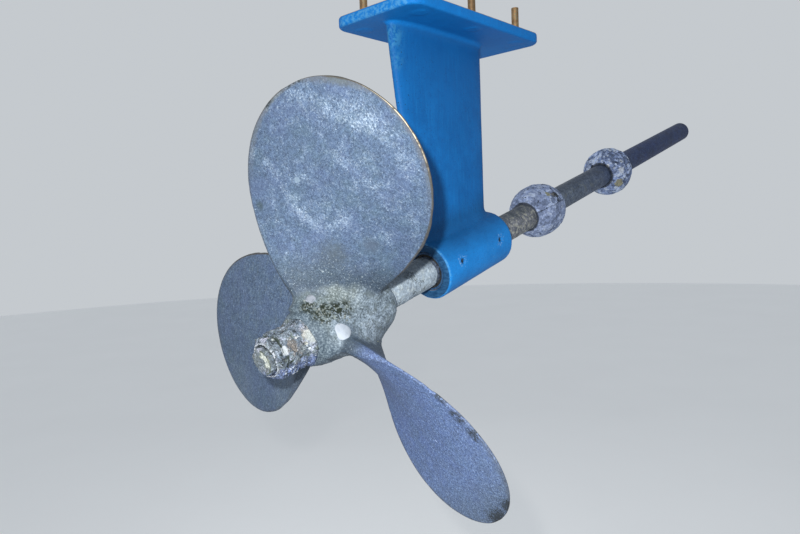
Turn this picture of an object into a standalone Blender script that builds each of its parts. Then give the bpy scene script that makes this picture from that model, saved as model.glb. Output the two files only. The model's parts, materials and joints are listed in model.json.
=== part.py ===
"""Propeller, shaft and strut of a boat, without the hull they hang under.

Metres, +X forward, +Y to port, +Z up.
The origin is the centre of the palm's upper face, where the strut bolts to the hull.
Everything on the shaft line hangs on an empty whose local X runs forward along the shaft.
"""

import math

import bpy
from mathutils import Matrix, Vector

# Fits and fineness
GAP = 0.0003
SHARP = math.radians(32)
ROUND = 48

# Shaft line
SLOPE = math.radians(15.3)
SHAFT_R = 0.0254
SHAFT_FORE = 1.22
SHAFT_EDGE = 0.003
BARREL_AFT = Vector((-0.066, 0.0, -0.4122))

# Strut
BARREL_R = 0.050
BARREL_LENGTH = 0.193
BARREL_CHAMFER = 0.003
PALM_THICK = 0.016
PALM_HALF_LENGTH = 0.175
PALM_HALF_WIDTH = 0.089
PALM_CORNER = 0.028
PALM_BEVEL = 0.0025
ARM_THICK = 0.026
ARM_POWER = 3.0
ARM_TOP_AFT = -0.1394
ARM_TOP_CHORD = 0.238
ARM_FOOT_AFT = 0.004
ARM_FOOT_FORE = 0.1816
ARM_FOOT_HEIGHT = 0.041
ARM_BOW = 0.0076
ARM_COLUMNS = 20
PALM_FILLET = 0.014
BARREL_FILLET = 0.024
FORE_FILLET = 0.008

# Bearing in the barrel
SHELL_R = 0.03335
SHELL_WALL = 0.0032
SHELL_INSET = 0.002
LINER_INSET = 0.003
RUNNING_GAP = 0.0002
FLUTES = 9
FLUTE_DEPTH = 0.0026
SET_SCREW_R = 0.0040
SET_SCREW_SINK = 0.0035
SET_SCREW_LIFT = math.radians(7)
SET_SCREW_PLACES = (0.040, 0.155)

# Palm bolts
BOLT_R = 0.00635
BOLT_HEAD_R = 0.0125
BOLT_HEAD_DEPTH = 0.0065
BOLT_ABOVE = 0.045
BOLT_X = (-0.130, 0.0, 0.130)
BOLT_Y = 0.060
BOLT_SLOT = 0.0022

# Hub and key
HUB_FORE = -0.1245
HUB_AFT = -0.2832
HUB_R = 0.0490
TAPER_START = -0.118
TAPER = 1 / 32
KEY_SIZE = 0.0127
KEY_FORE = -0.140
KEY_AFT = -0.272

# Blades
BLADES = 3
PROP_R = 0.3487
BLADE_PLACE = -0.2052
BLADE_ANGLE = -0.2786
PITCH_RATIO = 0.6945
PITCH_GAIN = 0.0575
CHORD_TERMS = (1.2176, 2.2315, 0.6428, -0.2384)
SKEW_TERMS = (-0.1253, 0.0440)
RAKE_TERMS = (-0.1258, 0.0962)
BLADE_START = 0.18
ROOT_THICK = 0.017
TIP_THICK = 0.0055
EDGE_THICK = 0.0034
FULL_START = 0.16
FULL_END = 0.46
ROOT_DROP = 0.0120
ROOT_EDGE = 0.0070
BLADE_FILLET = 0.018
BLADE_FOOT_R = 0.036
TIP_CUT = 0.0008
BLADE_ROWS = 18
BLADE_COLUMNS = 14

# Nuts, thread and cotter pin
THREAD_R = 0.01905
THREAD_PITCH = 0.0042
THREAD_DEPTH = 0.0022
THREAD_START = -0.282
THREAD_COVER = 0.0020
THREAD_RINGS = 11
THREAD_LEAD = 4
NUT_FLATS = 0.055
NUT_BEVEL = 0.0035
NUT_HEIGHT = 0.038
JAM_HEIGHT = 0.0155
NUT_AFT = HUB_AFT - GAP - NUT_HEIGHT
JAM_AFT = NUT_AFT - GAP - JAM_HEIGHT
COTTER_CLEAR = 0.0032
COTTER_PLACE = JAM_AFT - COTTER_CLEAR
COTTER_HOLE_R = 0.0022
COTTER_WIRE_R = 0.0009
COTTER_EYE_R = 0.0042
COTTER_TAIL = 0.009
SHAFT_PAST_COTTER = 0.0050
SHAFT_AFT = COTTER_PLACE - SHAFT_PAST_COTTER

# Anodes
ANODE_POWER = 2.5
ANODE_FACE_R = 0.032
ANODES = (("aft", 0.3717, 0.0530, 0.056), ("fore", 0.7130, 0.0555, 0.044))
ANODE_SPLIT = math.radians(16)
ANODE_SLIT = math.radians(0.9)
ANODE_SCREW_OUT = 0.042
ANODE_SCREW_R = 0.0050
ANODE_HEAD_R = 0.0080
ANODE_HEAD_SEAT = 0.0120
ANODE_HEAD_HEIGHT = 0.0100
ANODE_SCREW_REACH = 0.0160


for old in list(bpy.data.objects):
    bpy.data.objects.remove(old, do_unlink=True)


def material(name, colour, roughness, metallic):
    made = bpy.data.materials.new(name)
    made.use_nodes = True
    shader = made.node_tree.nodes["Principled BSDF"]
    shader.inputs["Base Color"].default_value = (*colour, 1.0)
    shader.inputs["Roughness"].default_value = roughness
    shader.inputs["Metallic"].default_value = metallic
    made.diffuse_color = (*colour, 1.0)
    return made


BLUE_PAINT = material("blue_antifouling", (0.012, 0.140, 0.450), 0.55, 0.0)
GREY_COAT = material("weathered_grey_coating", (0.190, 0.240, 0.300), 0.70, 0.2)
SHAFT_STEEL = material("dull_shaft_steel", (0.130, 0.140, 0.140), 0.55, 0.8)
BRONZE = material("bronze", (0.350, 0.230, 0.100), 0.45, 0.9)
SHELL_BRASS = material("bearing_brass", (0.420, 0.300, 0.120), 0.40, 1.0)
RUBBER = material("black_rubber", (0.020, 0.020, 0.022), 0.80, 0.0)
ZINC = material("corroded_zinc", (0.200, 0.210, 0.230), 0.85, 0.3)
SCREW_STEEL = material("screw_steel", (0.250, 0.250, 0.250), 0.45, 0.9)

# Shaft line frame: local X runs forward, Y to port, Z square to both
shaft_line = bpy.data.objects.new("shaft_line", None)
shaft_line.location = BARREL_AFT
shaft_line.rotation_euler = (0.0, -SLOPE, 0.0)
bpy.context.scene.collection.objects.link(shaft_line)


def turn_outward(mesh):
    """Flip the mesh when its volume comes out negative."""
    mesh.calc_loop_triangles()
    total = 0.0
    for tri in mesh.loop_triangles:
        a, b, c = (mesh.vertices[i].co for i in tri.vertices)
        total += a.dot(b.cross(c))
    if total < 0:
        mesh.flip_normals()


def ladder(count):
    """Faces that fill a ring from its first point across to its middle one."""
    low = 1
    high = count - 1
    faces = [(0, low, high)]
    while high - low > 2:
        faces.append((low, low + 1, high - 1, high))
        low += 1
        high -= 1
    if high - low == 2:
        faces.append((low, low + 1, high))
    return faces


def ring_solid(name, shells, look, parent=None):
    """One object from closed shells: each is a list of equal rings and whether they close a loop."""
    verts = []
    faces = []
    for rings, looped in shells:
        first = len(verts)
        count = len(rings[0])
        for ring in rings:
            verts.extend(ring)
        steps = len(rings) if looped else len(rings) - 1
        for i in range(steps):
            a = first + i * count
            b = first + (i + 1) % len(rings) * count
            for j in range(count):
                k = (j + 1) % count
                faces.append((a + j, a + k, b + k, b + j))
        if not looped:
            last = first + (len(rings) - 1) * count
            faces += [tuple(first + j for j in reversed(face)) for face in ladder(count)]
            faces += [tuple(last + j for j in face) for face in ladder(count)]
    mesh = bpy.data.meshes.new(name)
    mesh.from_pydata([tuple(v) for v in verts], [], faces)
    mesh.materials.append(look)
    turn_outward(mesh)
    mesh.shade_smooth()
    mesh.set_sharp_from_angle(angle=SHARP)
    made = bpy.data.objects.new(name, mesh)
    made.parent = parent
    bpy.context.scene.collection.objects.link(made)
    return made


def ring_about_x(x, radius, count=ROUND):
    """A ring about local X; the radius is a number or a function of the angle from +Z to +Y."""
    ring = []
    for j in range(count):
        angle = 2 * math.pi * j / count
        r = radius(angle) if callable(radius) else radius
        ring.append(Vector((x, r * math.sin(angle), r * math.cos(angle))))
    return ring


def lathe(profile, count=ROUND):
    return [ring_about_x(x, radius, count) for x, radius in profile]


def box_rings(low, high):
    """A box between two corners as two square rings."""
    square = [(low[1], low[2]), (high[1], low[2]), (high[1], high[2]), (low[1], high[2])]
    return [[Vector((x, y, z)) for y, z in square] for x in (low[0], high[0])]


def moved(rings, matrix):
    return [[matrix @ point for point in ring] for ring in rings]


def join_or_cut(target, helper, operation):
    """A Boolean step with a helper that stays out of the picture."""
    helper.hide_render = True
    helper.display_type = "WIRE"
    step = target.modifiers.new(helper.name, "BOOLEAN")
    step.operation = operation
    step.solver = "EXACT"
    step.object = helper


def hexagon(flats, limit=1.0):
    """Radius of a hexagon at an angle, no larger than the limit."""
    def radius(angle):
        turn = (angle + math.pi / 6) % (math.pi / 3) - math.pi / 6
        return min(flats / 2 / math.cos(turn), limit)
    return radius


def fillet(radius, distance):
    """How far a round fillet stands off a wall at a distance from the surface it meets."""
    start = 0.12 * radius
    near = max(distance, start)
    if near >= radius:
        return 0.0
    depth = math.sqrt(radius ** 2 - (radius - near) ** 2)
    slope = (radius - near) / depth
    sunk = min(max(start - distance, 0.0), 2 * start)
    return radius - depth + slope * sunk


# Strut: palm, arm and barrel in one casting
along = Vector((math.cos(SLOPE), 0.0, math.sin(SLOPE)))
upright = Vector((-math.sin(SLOPE), 0.0, math.cos(SLOPE)))
barrel_bore = SHELL_R + GAP
barrel_profile = [
    (0.0, barrel_bore),
    (0.0, BARREL_R - BARREL_CHAMFER),
    (BARREL_CHAMFER, BARREL_R),
    (BARREL_LENGTH - BARREL_CHAMFER, BARREL_R),
    (BARREL_LENGTH, BARREL_R - BARREL_CHAMFER),
    (BARREL_LENGTH, barrel_bore),
]
shaft_frame = Matrix.Translation(BARREL_AFT) @ Matrix.Rotation(-SLOPE, 4, "Y")
strut = ring_solid("strut_casting", [(moved(lathe(barrel_profile, 64), shaft_frame), True)], BLUE_PAINT)


def rounded_ring(inset, z):
    """The palm's outline, drawn in by an inset: a rectangle with round corners."""
    x = PALM_HALF_LENGTH - PALM_CORNER
    y = PALM_HALF_WIDTH - PALM_CORNER
    radius = PALM_CORNER - inset
    ring = []
    for quarter, (cx, cy) in enumerate(((x, y), (-x, y), (-x, -y), (x, -y))):
        for k in range(9):
            angle = math.pi / 2 * (quarter + k / 8)
            ring.append(Vector((cx + radius * math.cos(angle), cy + radius * math.sin(angle), z)))
    return ring


palm_steps = [(PALM_BEVEL, -PALM_THICK), (0.0, -PALM_THICK + PALM_BEVEL), (0.0, 0.0)]
palm_rings = [rounded_ring(inset, z) for inset, z in palm_steps]
palm = ring_solid("palm_plate", [(palm_rings, False)], BLUE_PAINT)


def barrel_side(height):
    """Half thickness of the arm over the shaft line, swept out where it meets the barrel."""
    half = ARM_THICK / 2
    centre = math.sqrt((BARREL_R + BARREL_FILLET) ** 2 - (half + BARREL_FILLET) ** 2)
    tangent = centre * BARREL_R / (BARREL_R + BARREL_FILLET)
    stop = tangent + 0.12 * (centre - tangent)
    if height >= centre:
        return half
    level = max(height, stop)
    sweep = half + BARREL_FILLET - math.sqrt(BARREL_FILLET ** 2 - (centre - level) ** 2)
    if height < stop:
        sweep = min(sweep, math.sqrt(BARREL_R ** 2 - height ** 2) * 0.80)
    return sweep


def arm_point(share, level, side):
    """A point on the arm; share runs aft to fore, side is port 1 or starboard -1."""
    kind, value = level
    top = Vector((ARM_TOP_AFT + share * ARM_TOP_CHORD, 0.0, -PALM_THICK))
    foot_place = ARM_FOOT_AFT + share * (ARM_FOOT_FORE - ARM_FOOT_AFT)
    foot = BARREL_AFT + along * foot_place + upright * ARM_FOOT_HEIGHT
    top_height = (top - BARREL_AFT).dot(upright)
    drop = top.z - foot.z
    clear = BARREL_R + BARREL_FILLET
    upper = PALM_FILLET / drop
    lower = (top_height - clear) / (top_height - ARM_FOOT_HEIGHT)
    if kind == "palm":
        t = value / drop
    elif kind == "barrel":
        t = (top_height - value) / (top_height - ARM_FOOT_HEIGHT)
    else:
        t = upper + (lower - upper) * value
    point = top.lerp(foot, t)
    height = (point - BARREL_AFT).dot(upright)
    point.x -= ARM_BOW * 4 * t * (1 - t) * (1 - share)
    point.x += fillet(FORE_FILLET, height - BARREL_R) * share ** 6
    half = barrel_side(height) + fillet(PALM_FILLET, t * drop)
    rounding = (1 - abs(2 * share - 1) ** ARM_POWER) ** (1 / ARM_POWER)
    point.y = side * half * rounding
    return point


arm_levels = [("palm", d) for d in (-0.008, 0.0, 0.0015, 0.004, 0.008)]
arm_levels += [("middle", k / 6) for k in range(7)]
arm_levels += [("barrel", h) for h in (0.068, 0.063, 0.058, 0.054, 0.0505, 0.0475, ARM_FOOT_HEIGHT)]
arm_rings = []
for level in arm_levels:
    shares = [0.5 * (1 - math.cos(math.pi * j / ARM_COLUMNS)) for j in range(ARM_COLUMNS + 1)]
    ring = [arm_point(share, level, 1) for share in shares]
    ring += [arm_point(share, level, -1) for share in reversed(shares[1:-1])]
    arm_rings.append(ring)
arm = ring_solid("arm_body", [(arm_rings, False)], BLUE_PAINT)
join_or_cut(strut, arm, "UNION")
join_or_cut(strut, palm, "UNION")


def bolt_rings(x, y, grow, low, high):
    """Head, cone and shank on a vertical line, from below the palm up."""
    neck = -PALM_THICK + BOLT_HEAD_DEPTH
    steps = [(low, BOLT_HEAD_R + grow), (neck, BOLT_R + grow), (high, BOLT_R + grow)]
    rings = []
    for z, r in steps:
        angles = [2 * math.pi * j / 24 for j in range(24)]
        rings.append([Vector((x + r * math.cos(a), y + r * math.sin(a), z)) for a in angles])
    return rings


# Palm bolts, sunk into the palm's lower face, and their slots
bolt_spots = [(x, side * BOLT_Y) for x in BOLT_X for side in (1, -1)]
bolt_holes = [(bolt_rings(x, y, GAP, -PALM_THICK - GAP, 0.005), False) for x, y in bolt_spots]
join_or_cut(strut, ring_solid("bolt_holes", bolt_holes, BLUE_PAINT), "DIFFERENCE")
slot_shells = []
for x, y in bolt_spots:
    low = (x - 0.03, y - BOLT_SLOT / 2, -PALM_THICK - 0.01)
    high = (x + 0.03, y + BOLT_SLOT / 2, -PALM_THICK + BOLT_SLOT)
    slot_shells.append((box_rings(low, high), False))
bolt_slots = ring_solid("bolt_slots", slot_shells, BRONZE)
for number, (x, y) in enumerate(bolt_spots, 1):
    shank = bolt_rings(x, y, 0.0, -PALM_THICK, BOLT_ABOVE)
    bolt = ring_solid(f"palm_bolt_{number}", [(shank, False)], BRONZE)
    join_or_cut(bolt, bolt_slots, "DIFFERENCE")

# Set screws that hold the bearing, on the starboard side
screw_turn = Matrix.Rotation(math.pi / 2 - SET_SCREW_LIFT, 4, "X") @ Matrix.Rotation(-math.pi / 2, 4, "Y")


def set_screw_frame(place):
    """Local X points out of the barrel to starboard."""
    return shaft_frame @ Matrix.Translation((place, 0.0, 0.0)) @ screw_turn


screw_holes = []
for place in SET_SCREW_PLACES:
    hole = lathe([(0.028, SET_SCREW_R + GAP), (0.056, SET_SCREW_R + GAP)], 24)
    screw_holes.append((moved(hole, set_screw_frame(place)), False))
join_or_cut(strut, ring_solid("screw_holes", screw_holes, BLUE_PAINT), "DIFFERENCE")
screw_top = BARREL_R - SET_SCREW_SINK
screw_profile = [
    (SHELL_R + GAP, SET_SCREW_R * 0.7),
    (SHELL_R + 0.0015, SET_SCREW_R),
    (screw_top - 0.0005, SET_SCREW_R),
    (screw_top, SET_SCREW_R - 0.0005),
    (screw_top, hexagon(0.0040)),
    (screw_top - 0.004, hexagon(0.0040)),
]
for name, place in zip(("set_screw_aft", "set_screw_fore"), SET_SCREW_PLACES):
    rings = moved(lathe(screw_profile, 24), set_screw_frame(place))
    ring_solid(name, [(rings, False)], SCREW_STEEL)

# Bearing: a brass shell with a fluted rubber liner
shell_inner = SHELL_R - SHELL_WALL
shell_profile = [
    (SHELL_INSET, shell_inner),
    (SHELL_INSET, SHELL_R),
    (BARREL_LENGTH - SHELL_INSET, SHELL_R),
    (BARREL_LENGTH - SHELL_INSET, shell_inner),
]
ring_solid("bearing_shell", [(moved(lathe(shell_profile, 64), shaft_frame), True)], SHELL_BRASS)


def fluted_bore(angle):
    """Bore of the liner: broad lands with a round-bottomed flute between each pair."""
    share = angle * FLUTES / (2 * math.pi) % 1.0
    if share > 0.4:
        return SHAFT_R + RUNNING_GAP
    return SHAFT_R + RUNNING_GAP + FLUTE_DEPTH * math.sin(math.pi * share / 0.4) ** 0.6


liner_profile = [
    (LINER_INSET, fluted_bore),
    (LINER_INSET, shell_inner - GAP),
    (BARREL_LENGTH - LINER_INSET, shell_inner - GAP),
    (BARREL_LENGTH - LINER_INSET, fluted_bore),
]
liner_rings = moved(lathe(liner_profile, 10 * FLUTES), shaft_frame)
ring_solid("bearing_liner", [(liner_rings, True)], RUBBER)


def taper_radius(x):
    """Radius of the shaft's cone inside the hub."""
    return SHAFT_R - max(TAPER_START - x, 0.0) * TAPER


def thread_radius(x, depth):
    """Radius of a helical thread as a function of the angle."""
    def radius(angle):
        turn = (x / THREAD_PITCH - angle / (2 * math.pi)) % 1.0
        return THREAD_R - depth * abs(2 * turn - 1)
    return radius


# Shaft: plain length, cone, threaded end and a centre hole at each end
shaft_steps = [
    (SHAFT_FORE - 0.006, 0.0005),
    (SHAFT_FORE - 0.001, 0.0055),
    (SHAFT_FORE, 0.0060),
    (SHAFT_FORE, SHAFT_R - SHAFT_EDGE),
    (SHAFT_FORE - SHAFT_EDGE, SHAFT_R),
    (BARREL_LENGTH + 0.02, SHAFT_R),
    (-0.02, SHAFT_R),
    (TAPER_START, SHAFT_R),
    (THREAD_START + 0.001, taper_radius(THREAD_START)),
    (THREAD_START, THREAD_R),
    (JAM_AFT + THREAD_COVER, THREAD_R),
]
thread_shows = JAM_AFT + THREAD_COVER
thread_end = SHAFT_AFT + 0.002
for k in range(1, THREAD_RINGS + 1):
    x = thread_shows + (thread_end - thread_shows) * k / THREAD_RINGS
    shaft_steps.append((x, thread_radius(x, THREAD_DEPTH * min(1.0, k / THREAD_LEAD))))
shaft_steps += [
    (SHAFT_AFT, THREAD_R - THREAD_DEPTH - 0.001),
    (SHAFT_AFT, 0.0050),
    (SHAFT_AFT + 0.001, 0.0045),
    (SHAFT_AFT + 0.005, 0.0005),
]
shaft = ring_solid("shaft", [(lathe(shaft_steps), False)], SHAFT_STEEL, shaft_line)

# Key, lying along the cone under one blade
key_turn = Matrix.Rotation(-BLADE_ANGLE, 4, "X")
half_key = KEY_SIZE / 2


def key_rings(fore, aft, half_width, below, above):
    """A bar that follows the cone's side, between two depths from its surface."""
    rings = []
    for x in (fore, aft):
        r = taper_radius(x)
        square = [(-half_width, r - below), (half_width, r - below)]
        square += [(half_width, r + above), (-half_width, r + above)]
        rings.append([Vector((x, y, z)) for y, z in square])
    return moved(rings, key_turn)


key_bar = key_rings(KEY_FORE, KEY_AFT, half_key, half_key, half_key)
ring_solid("propeller_key", [(key_bar, False)], BRONZE, shaft_line)
shaft_slot = key_rings(KEY_FORE + GAP, KEY_AFT - GAP, half_key + GAP, half_key + GAP, half_key + 0.004)
hub_slot = key_rings(HUB_FORE + 0.01, HUB_AFT - 0.01, half_key + GAP, half_key, half_key + GAP)
slot_in_shaft = ring_solid("shaft_keyway", [(shaft_slot, False)], SHAFT_STEEL, shaft_line)
join_or_cut(shaft, slot_in_shaft, "DIFFERENCE")
cotter_hole = Matrix.Translation((COTTER_PLACE, 0.0, 0.0)) @ Matrix.Rotation(math.pi / 2, 4, "Z")
hole_rings = moved(lathe([(-0.03, COTTER_HOLE_R), (0.03, COTTER_HOLE_R)], 16), cotter_hole)
hole_in_shaft = ring_solid("cotter_hole", [(hole_rings, False)], SHAFT_STEEL, shaft_line)
join_or_cut(shaft, hole_in_shaft, "DIFFERENCE")

# Propeller: hub and blades in one casting
hub_length = HUB_FORE - HUB_AFT
hub_bore_fore = taper_radius(HUB_FORE) + GAP
hub_bore_aft = taper_radius(HUB_AFT) + GAP
hub_profile = [(HUB_FORE, hub_bore_fore), (HUB_FORE, 0.0405)]
for share in (0.02, 0.05, 0.10, 0.18, 0.30, 0.45, 0.60, 0.72, 0.82, 0.90, 0.96, 0.99):
    fore_round = 0.0085 * max(1 - share / 0.18, 0.0) ** 2.4
    aft_round = 0.0120 * max((share - 0.50) / 0.50, 0.0) ** 3
    hub_profile.append((HUB_FORE - share * hub_length, HUB_R - fore_round - aft_round))
hub_profile += [(HUB_AFT, 0.0345), (HUB_AFT, hub_bore_aft)]
propeller = ring_solid("propeller", [(lathe(hub_profile), True)], GREY_COAT, shaft_line)


def series(terms, value):
    return sum(term * value ** power for power, term in enumerate(terms))


def blade_chord(share):
    return math.sqrt(max(1 - share, 0.0)) * series(CHORD_TERMS, share - 0.6) * PROP_R


def fullness(share):
    """How far the blade has its full root form: 1 at the hub, 0 from part way up."""
    t = min(max((FULL_END - share) / (FULL_END - FULL_START), 0.0), 1.0)
    return t * t * (3 - 2 * t)


def blade_inset(share):
    """How far the flat faces stop short of the blade's outline, to leave room for the blunt root edges."""
    return (ROOT_EDGE / 2 + ROOT_DROP / 4) * fullness(share)


def half_width(share):
    spread = fillet(BLADE_FILLET, share * PROP_R - HUB_R)
    return blade_chord(share) / 2 + spread - blade_inset(share)


def blade_sheet(share, across, angle, lift):
    """A point on one blade: share is radius over tip radius, across runs -1 leading to 1 trailing."""
    r = share * PROP_R
    out = share - BLADE_START
    middle = series((0.0, *SKEW_TERMS), out) * PROP_R
    rake = series((0.0, *RAKE_TERMS), out) * PROP_R
    pitch = (PITCH_RATIO + PITCH_GAIN * (share - 0.7)) * 2 * PROP_R
    slant = math.atan2(pitch, 2 * math.pi * r)
    arc = middle + across * half_width(share)
    turn = angle + arc * math.cos(slant) / r + math.sin(slant) * lift / r
    x = BLADE_PLACE + rake - arc * math.sin(slant) + math.cos(slant) * lift
    return Vector((x, r * math.sin(turn), r * math.cos(turn)))


def blade_faces(share, across):
    """How far the aft and forward faces stand off the sheet."""
    spread = fillet(BLADE_FILLET, share * PROP_R - HUB_R)
    thick = ROOT_THICK + (TIP_THICK - ROOT_THICK) * share ** 0.8
    rim = EDGE_THICK + ROOT_EDGE * fullness(share)
    body = rim + (thick - rim) * max(1 - across ** 2, 0.0) ** 0.8
    return -spread - ROOT_DROP * fullness(share), body + spread


def blade_ring(share, angle):
    """A closed section at one radius, with rounded edges."""
    steps = [math.sin(math.pi / 2 * (2 * j / BLADE_COLUMNS - 1)) for j in range(BLADE_COLUMNS + 1)]
    aft = []
    fore = []
    for across in steps:
        low, high = blade_faces(share, across)
        aft.append(blade_sheet(share, across, angle, low))
        fore.append(blade_sheet(share, across, angle, high))
    low, high = blade_faces(share, 1.0)
    edge_out = 0.45 * EDGE_THICK + blade_inset(share)
    bulge = 1 + edge_out / max(half_width(share), EDGE_THICK)
    trailing = blade_sheet(share, bulge, angle, (low + high) / 2)
    leading = blade_sheet(share, -bulge, angle, (low + high) / 2)
    return [leading] + aft + [trailing] + fore[::-1]


foot_share = BLADE_FOOT_R / PROP_R
root_steps = [BLADE_FILLET * part for part in (0.0, 0.12, 0.25, 0.50, 0.78)]
root_shares = [foot_share] + [(HUB_R + step) / PROP_R for step in root_steps]
first_share = (HUB_R + BLADE_FILLET) / PROP_R
blade_shares = root_shares + [
    1 - (1 - first_share) * (1 - k / BLADE_ROWS) ** 1.7 - TIP_CUT * k / BLADE_ROWS
    for k in range(BLADE_ROWS + 1)
]
for number in range(BLADES):
    angle = BLADE_ANGLE + number * 2 * math.pi / BLADES
    rings = [blade_ring(share, angle) for share in blade_shares]
    blade = ring_solid(f"blade_{number + 1}", [(rings, False)], GREY_COAT, shaft_line)
    join_or_cut(propeller, blade, "UNION")
slot_in_hub = ring_solid("hub_keyway", [(hub_slot, False)], GREY_COAT, shaft_line)
join_or_cut(propeller, slot_in_hub, "DIFFERENCE")


def nut(name, fore, aft):
    """A hexagonal nut with its corners taken off at both faces."""
    bore = THREAD_R + GAP
    half = NUT_FLATS / 2
    steps = [
        (fore, bore),
        (fore, hexagon(NUT_FLATS, half * 0.97)),
        (fore - 0.0012, hexagon(NUT_FLATS, half * 1.05)),
        (fore - NUT_BEVEL, hexagon(NUT_FLATS)),
        (aft + NUT_BEVEL, hexagon(NUT_FLATS)),
        (aft + 0.0012, hexagon(NUT_FLATS, half * 1.05)),
        (aft, hexagon(NUT_FLATS, half * 0.97)),
        (aft, bore),
    ]
    return ring_solid(name, [(lathe(steps), True)], BRONZE, shaft_line)


# Full nut against the hub, then the thin jam nut that locks it
nut("propeller_nut", HUB_AFT - GAP, NUT_AFT)
nut("jam_nut", NUT_AFT - GAP, JAM_AFT)


def cotter_path():
    """Centre line of the pin: a tail, a leg, round the eye, the other leg and its tail."""
    leg = COTTER_WIRE_R * 1.1
    reach = THREAD_R + 0.0015
    eye = reach + 1.25 * COTTER_EYE_R
    bend = [(-reach - 0.0028, 2.6 * leg), (-reach - 0.0002, leg), (reach, leg)]
    path = [(-reach - 0.0036, COTTER_TAIL)] + bend
    for k in range(12):
        angle = math.radians(25 + 310 * k / 11)
        path.append((eye - COTTER_EYE_R * math.cos(angle), COTTER_EYE_R * math.sin(angle)))
    path += [(y, -z) for y, z in reversed(bend)]
    path.append((-reach - 0.0036, -COTTER_TAIL))
    return [Vector((COTTER_PLACE, y, z)) for y, z in path]


def wire_rings(path, radius):
    """Rings of a wire that lies in a plane square to local X."""
    rings = []
    for i, point in enumerate(path):
        ahead = path[min(i + 1, len(path) - 1)] - point
        behind = point - path[max(i - 1, 0)]
        run = (ahead.normalized() + behind.normalized()).normalized()
        side = run.cross(Vector((1.0, 0.0, 0.0)))
        angles = [2 * math.pi * j / 10 for j in range(10)]
        lean = [(math.cos(a) * radius, math.sin(a) * radius) for a in angles]
        rings.append([point + side * u + Vector((v, 0.0, 0.0)) for u, v in lean])
    return rings


ring_solid("cotter_pin", [(wire_rings(cotter_path(), COTTER_WIRE_R), False)], BRONZE, shaft_line)


def anode_section(outer, half):
    """Closed outline of one half: bore, end faces and rounded outside, as (x, radius) pairs."""
    steps = 18
    outline = []
    for k in range(steps + 1):
        t = -math.cos(math.pi * k / steps)
        r = outer * (1 - abs(t) ** ANODE_POWER) ** (1 / ANODE_POWER)
        if r > ANODE_FACE_R:
            outline.append((t * half, r))
    reach = half * (1 - (ANODE_FACE_R / outer) ** ANODE_POWER) ** (1 / ANODE_POWER)
    bore = SHAFT_R + GAP
    return [(-reach, bore), (-reach, ANODE_FACE_R)] + outline + [(reach, ANODE_FACE_R), (reach, bore)]


def half_anode(section, start):
    """Half a collar, turned through just under half a circle."""
    rings = []
    for k in range(25):
        angle = start + ANODE_SLIT + (math.pi - 2 * ANODE_SLIT) * k / 24
        c = math.cos(angle)
        s = math.sin(angle)
        rings.append([Vector((x, r * c, r * s)) for x, r in section])
    return rings


# Anodes: two collars, each in two halves drawn together by two screws
for end, place, outer, half in ANODES:
    frame = Matrix.Translation((place, 0.0, 0.0)) @ Matrix.Rotation(-ANODE_SPLIT, 4, "X")
    section = anode_section(outer, half)
    upper_rings = moved(half_anode(section, 0.0), frame)
    lower_rings = moved(half_anode(section, math.pi), frame)
    upper = ring_solid(f"anode_{end}_upper", [(upper_rings, False)], ZINC, shaft_line)
    lower = ring_solid(f"anode_{end}_lower", [(lower_rings, False)], ZINC, shaft_line)
    clear = ANODE_SCREW_R + GAP
    pocket = ANODE_HEAD_R + GAP
    hole_steps = [
        (-ANODE_SCREW_REACH - GAP, clear),
        (ANODE_HEAD_SEAT - GAP, clear),
        (ANODE_HEAD_SEAT - GAP, pocket),
        (outer + 0.01, pocket),
    ]
    screw_steps = [
        (-ANODE_SCREW_REACH, ANODE_SCREW_R * 0.8),
        (-ANODE_SCREW_REACH + 0.001, ANODE_SCREW_R),
        (ANODE_HEAD_SEAT, ANODE_SCREW_R),
        (ANODE_HEAD_SEAT, ANODE_HEAD_R),
        (ANODE_HEAD_SEAT + ANODE_HEAD_HEIGHT - 0.001, ANODE_HEAD_R),
        (ANODE_HEAD_SEAT + ANODE_HEAD_HEIGHT, ANODE_HEAD_R - 0.001),
        (ANODE_HEAD_SEAT + ANODE_HEAD_HEIGHT, hexagon(0.0080)),
        (ANODE_HEAD_SEAT + ANODE_HEAD_HEIGHT / 2, hexagon(0.0080)),
    ]
    holes = []
    for side, word in ((1, "port"), (-1, "starboard")):
        spot = frame @ Matrix.Translation((0.0, side * ANODE_SCREW_OUT, 0.0))
        stand = spot @ Matrix.Rotation(-math.pi / 2, 4, "Y")
        holes.append((moved(lathe(hole_steps, 24), stand), False))
        screw = [(moved(lathe(screw_steps, 24), stand), False)]
        ring_solid(f"anode_{end}_screw_{word}", screw, SCREW_STEEL, shaft_line)
    drill = ring_solid(f"anode_{end}_holes", holes, ZINC, shaft_line)
    join_or_cut(upper, drill, "DIFFERENCE")
    join_or_cut(lower, drill, "DIFFERENCE")
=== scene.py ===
"""Looks of a boat's propeller, shaft and strut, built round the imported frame.

Metres, in the frame of the CAD model: +X forward, +Y to port, +Z up. Colours in thousandths.
"Shaft coordinates" run forward along the shaft (x), to port (y) and square to both (z).
"""

import contextlib
import itertools
import json
import math

import bmesh
import bpy
import numpy as np
from mathutils import Matrix, Vector
from mathutils.bvhtree import BVHTree


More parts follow.
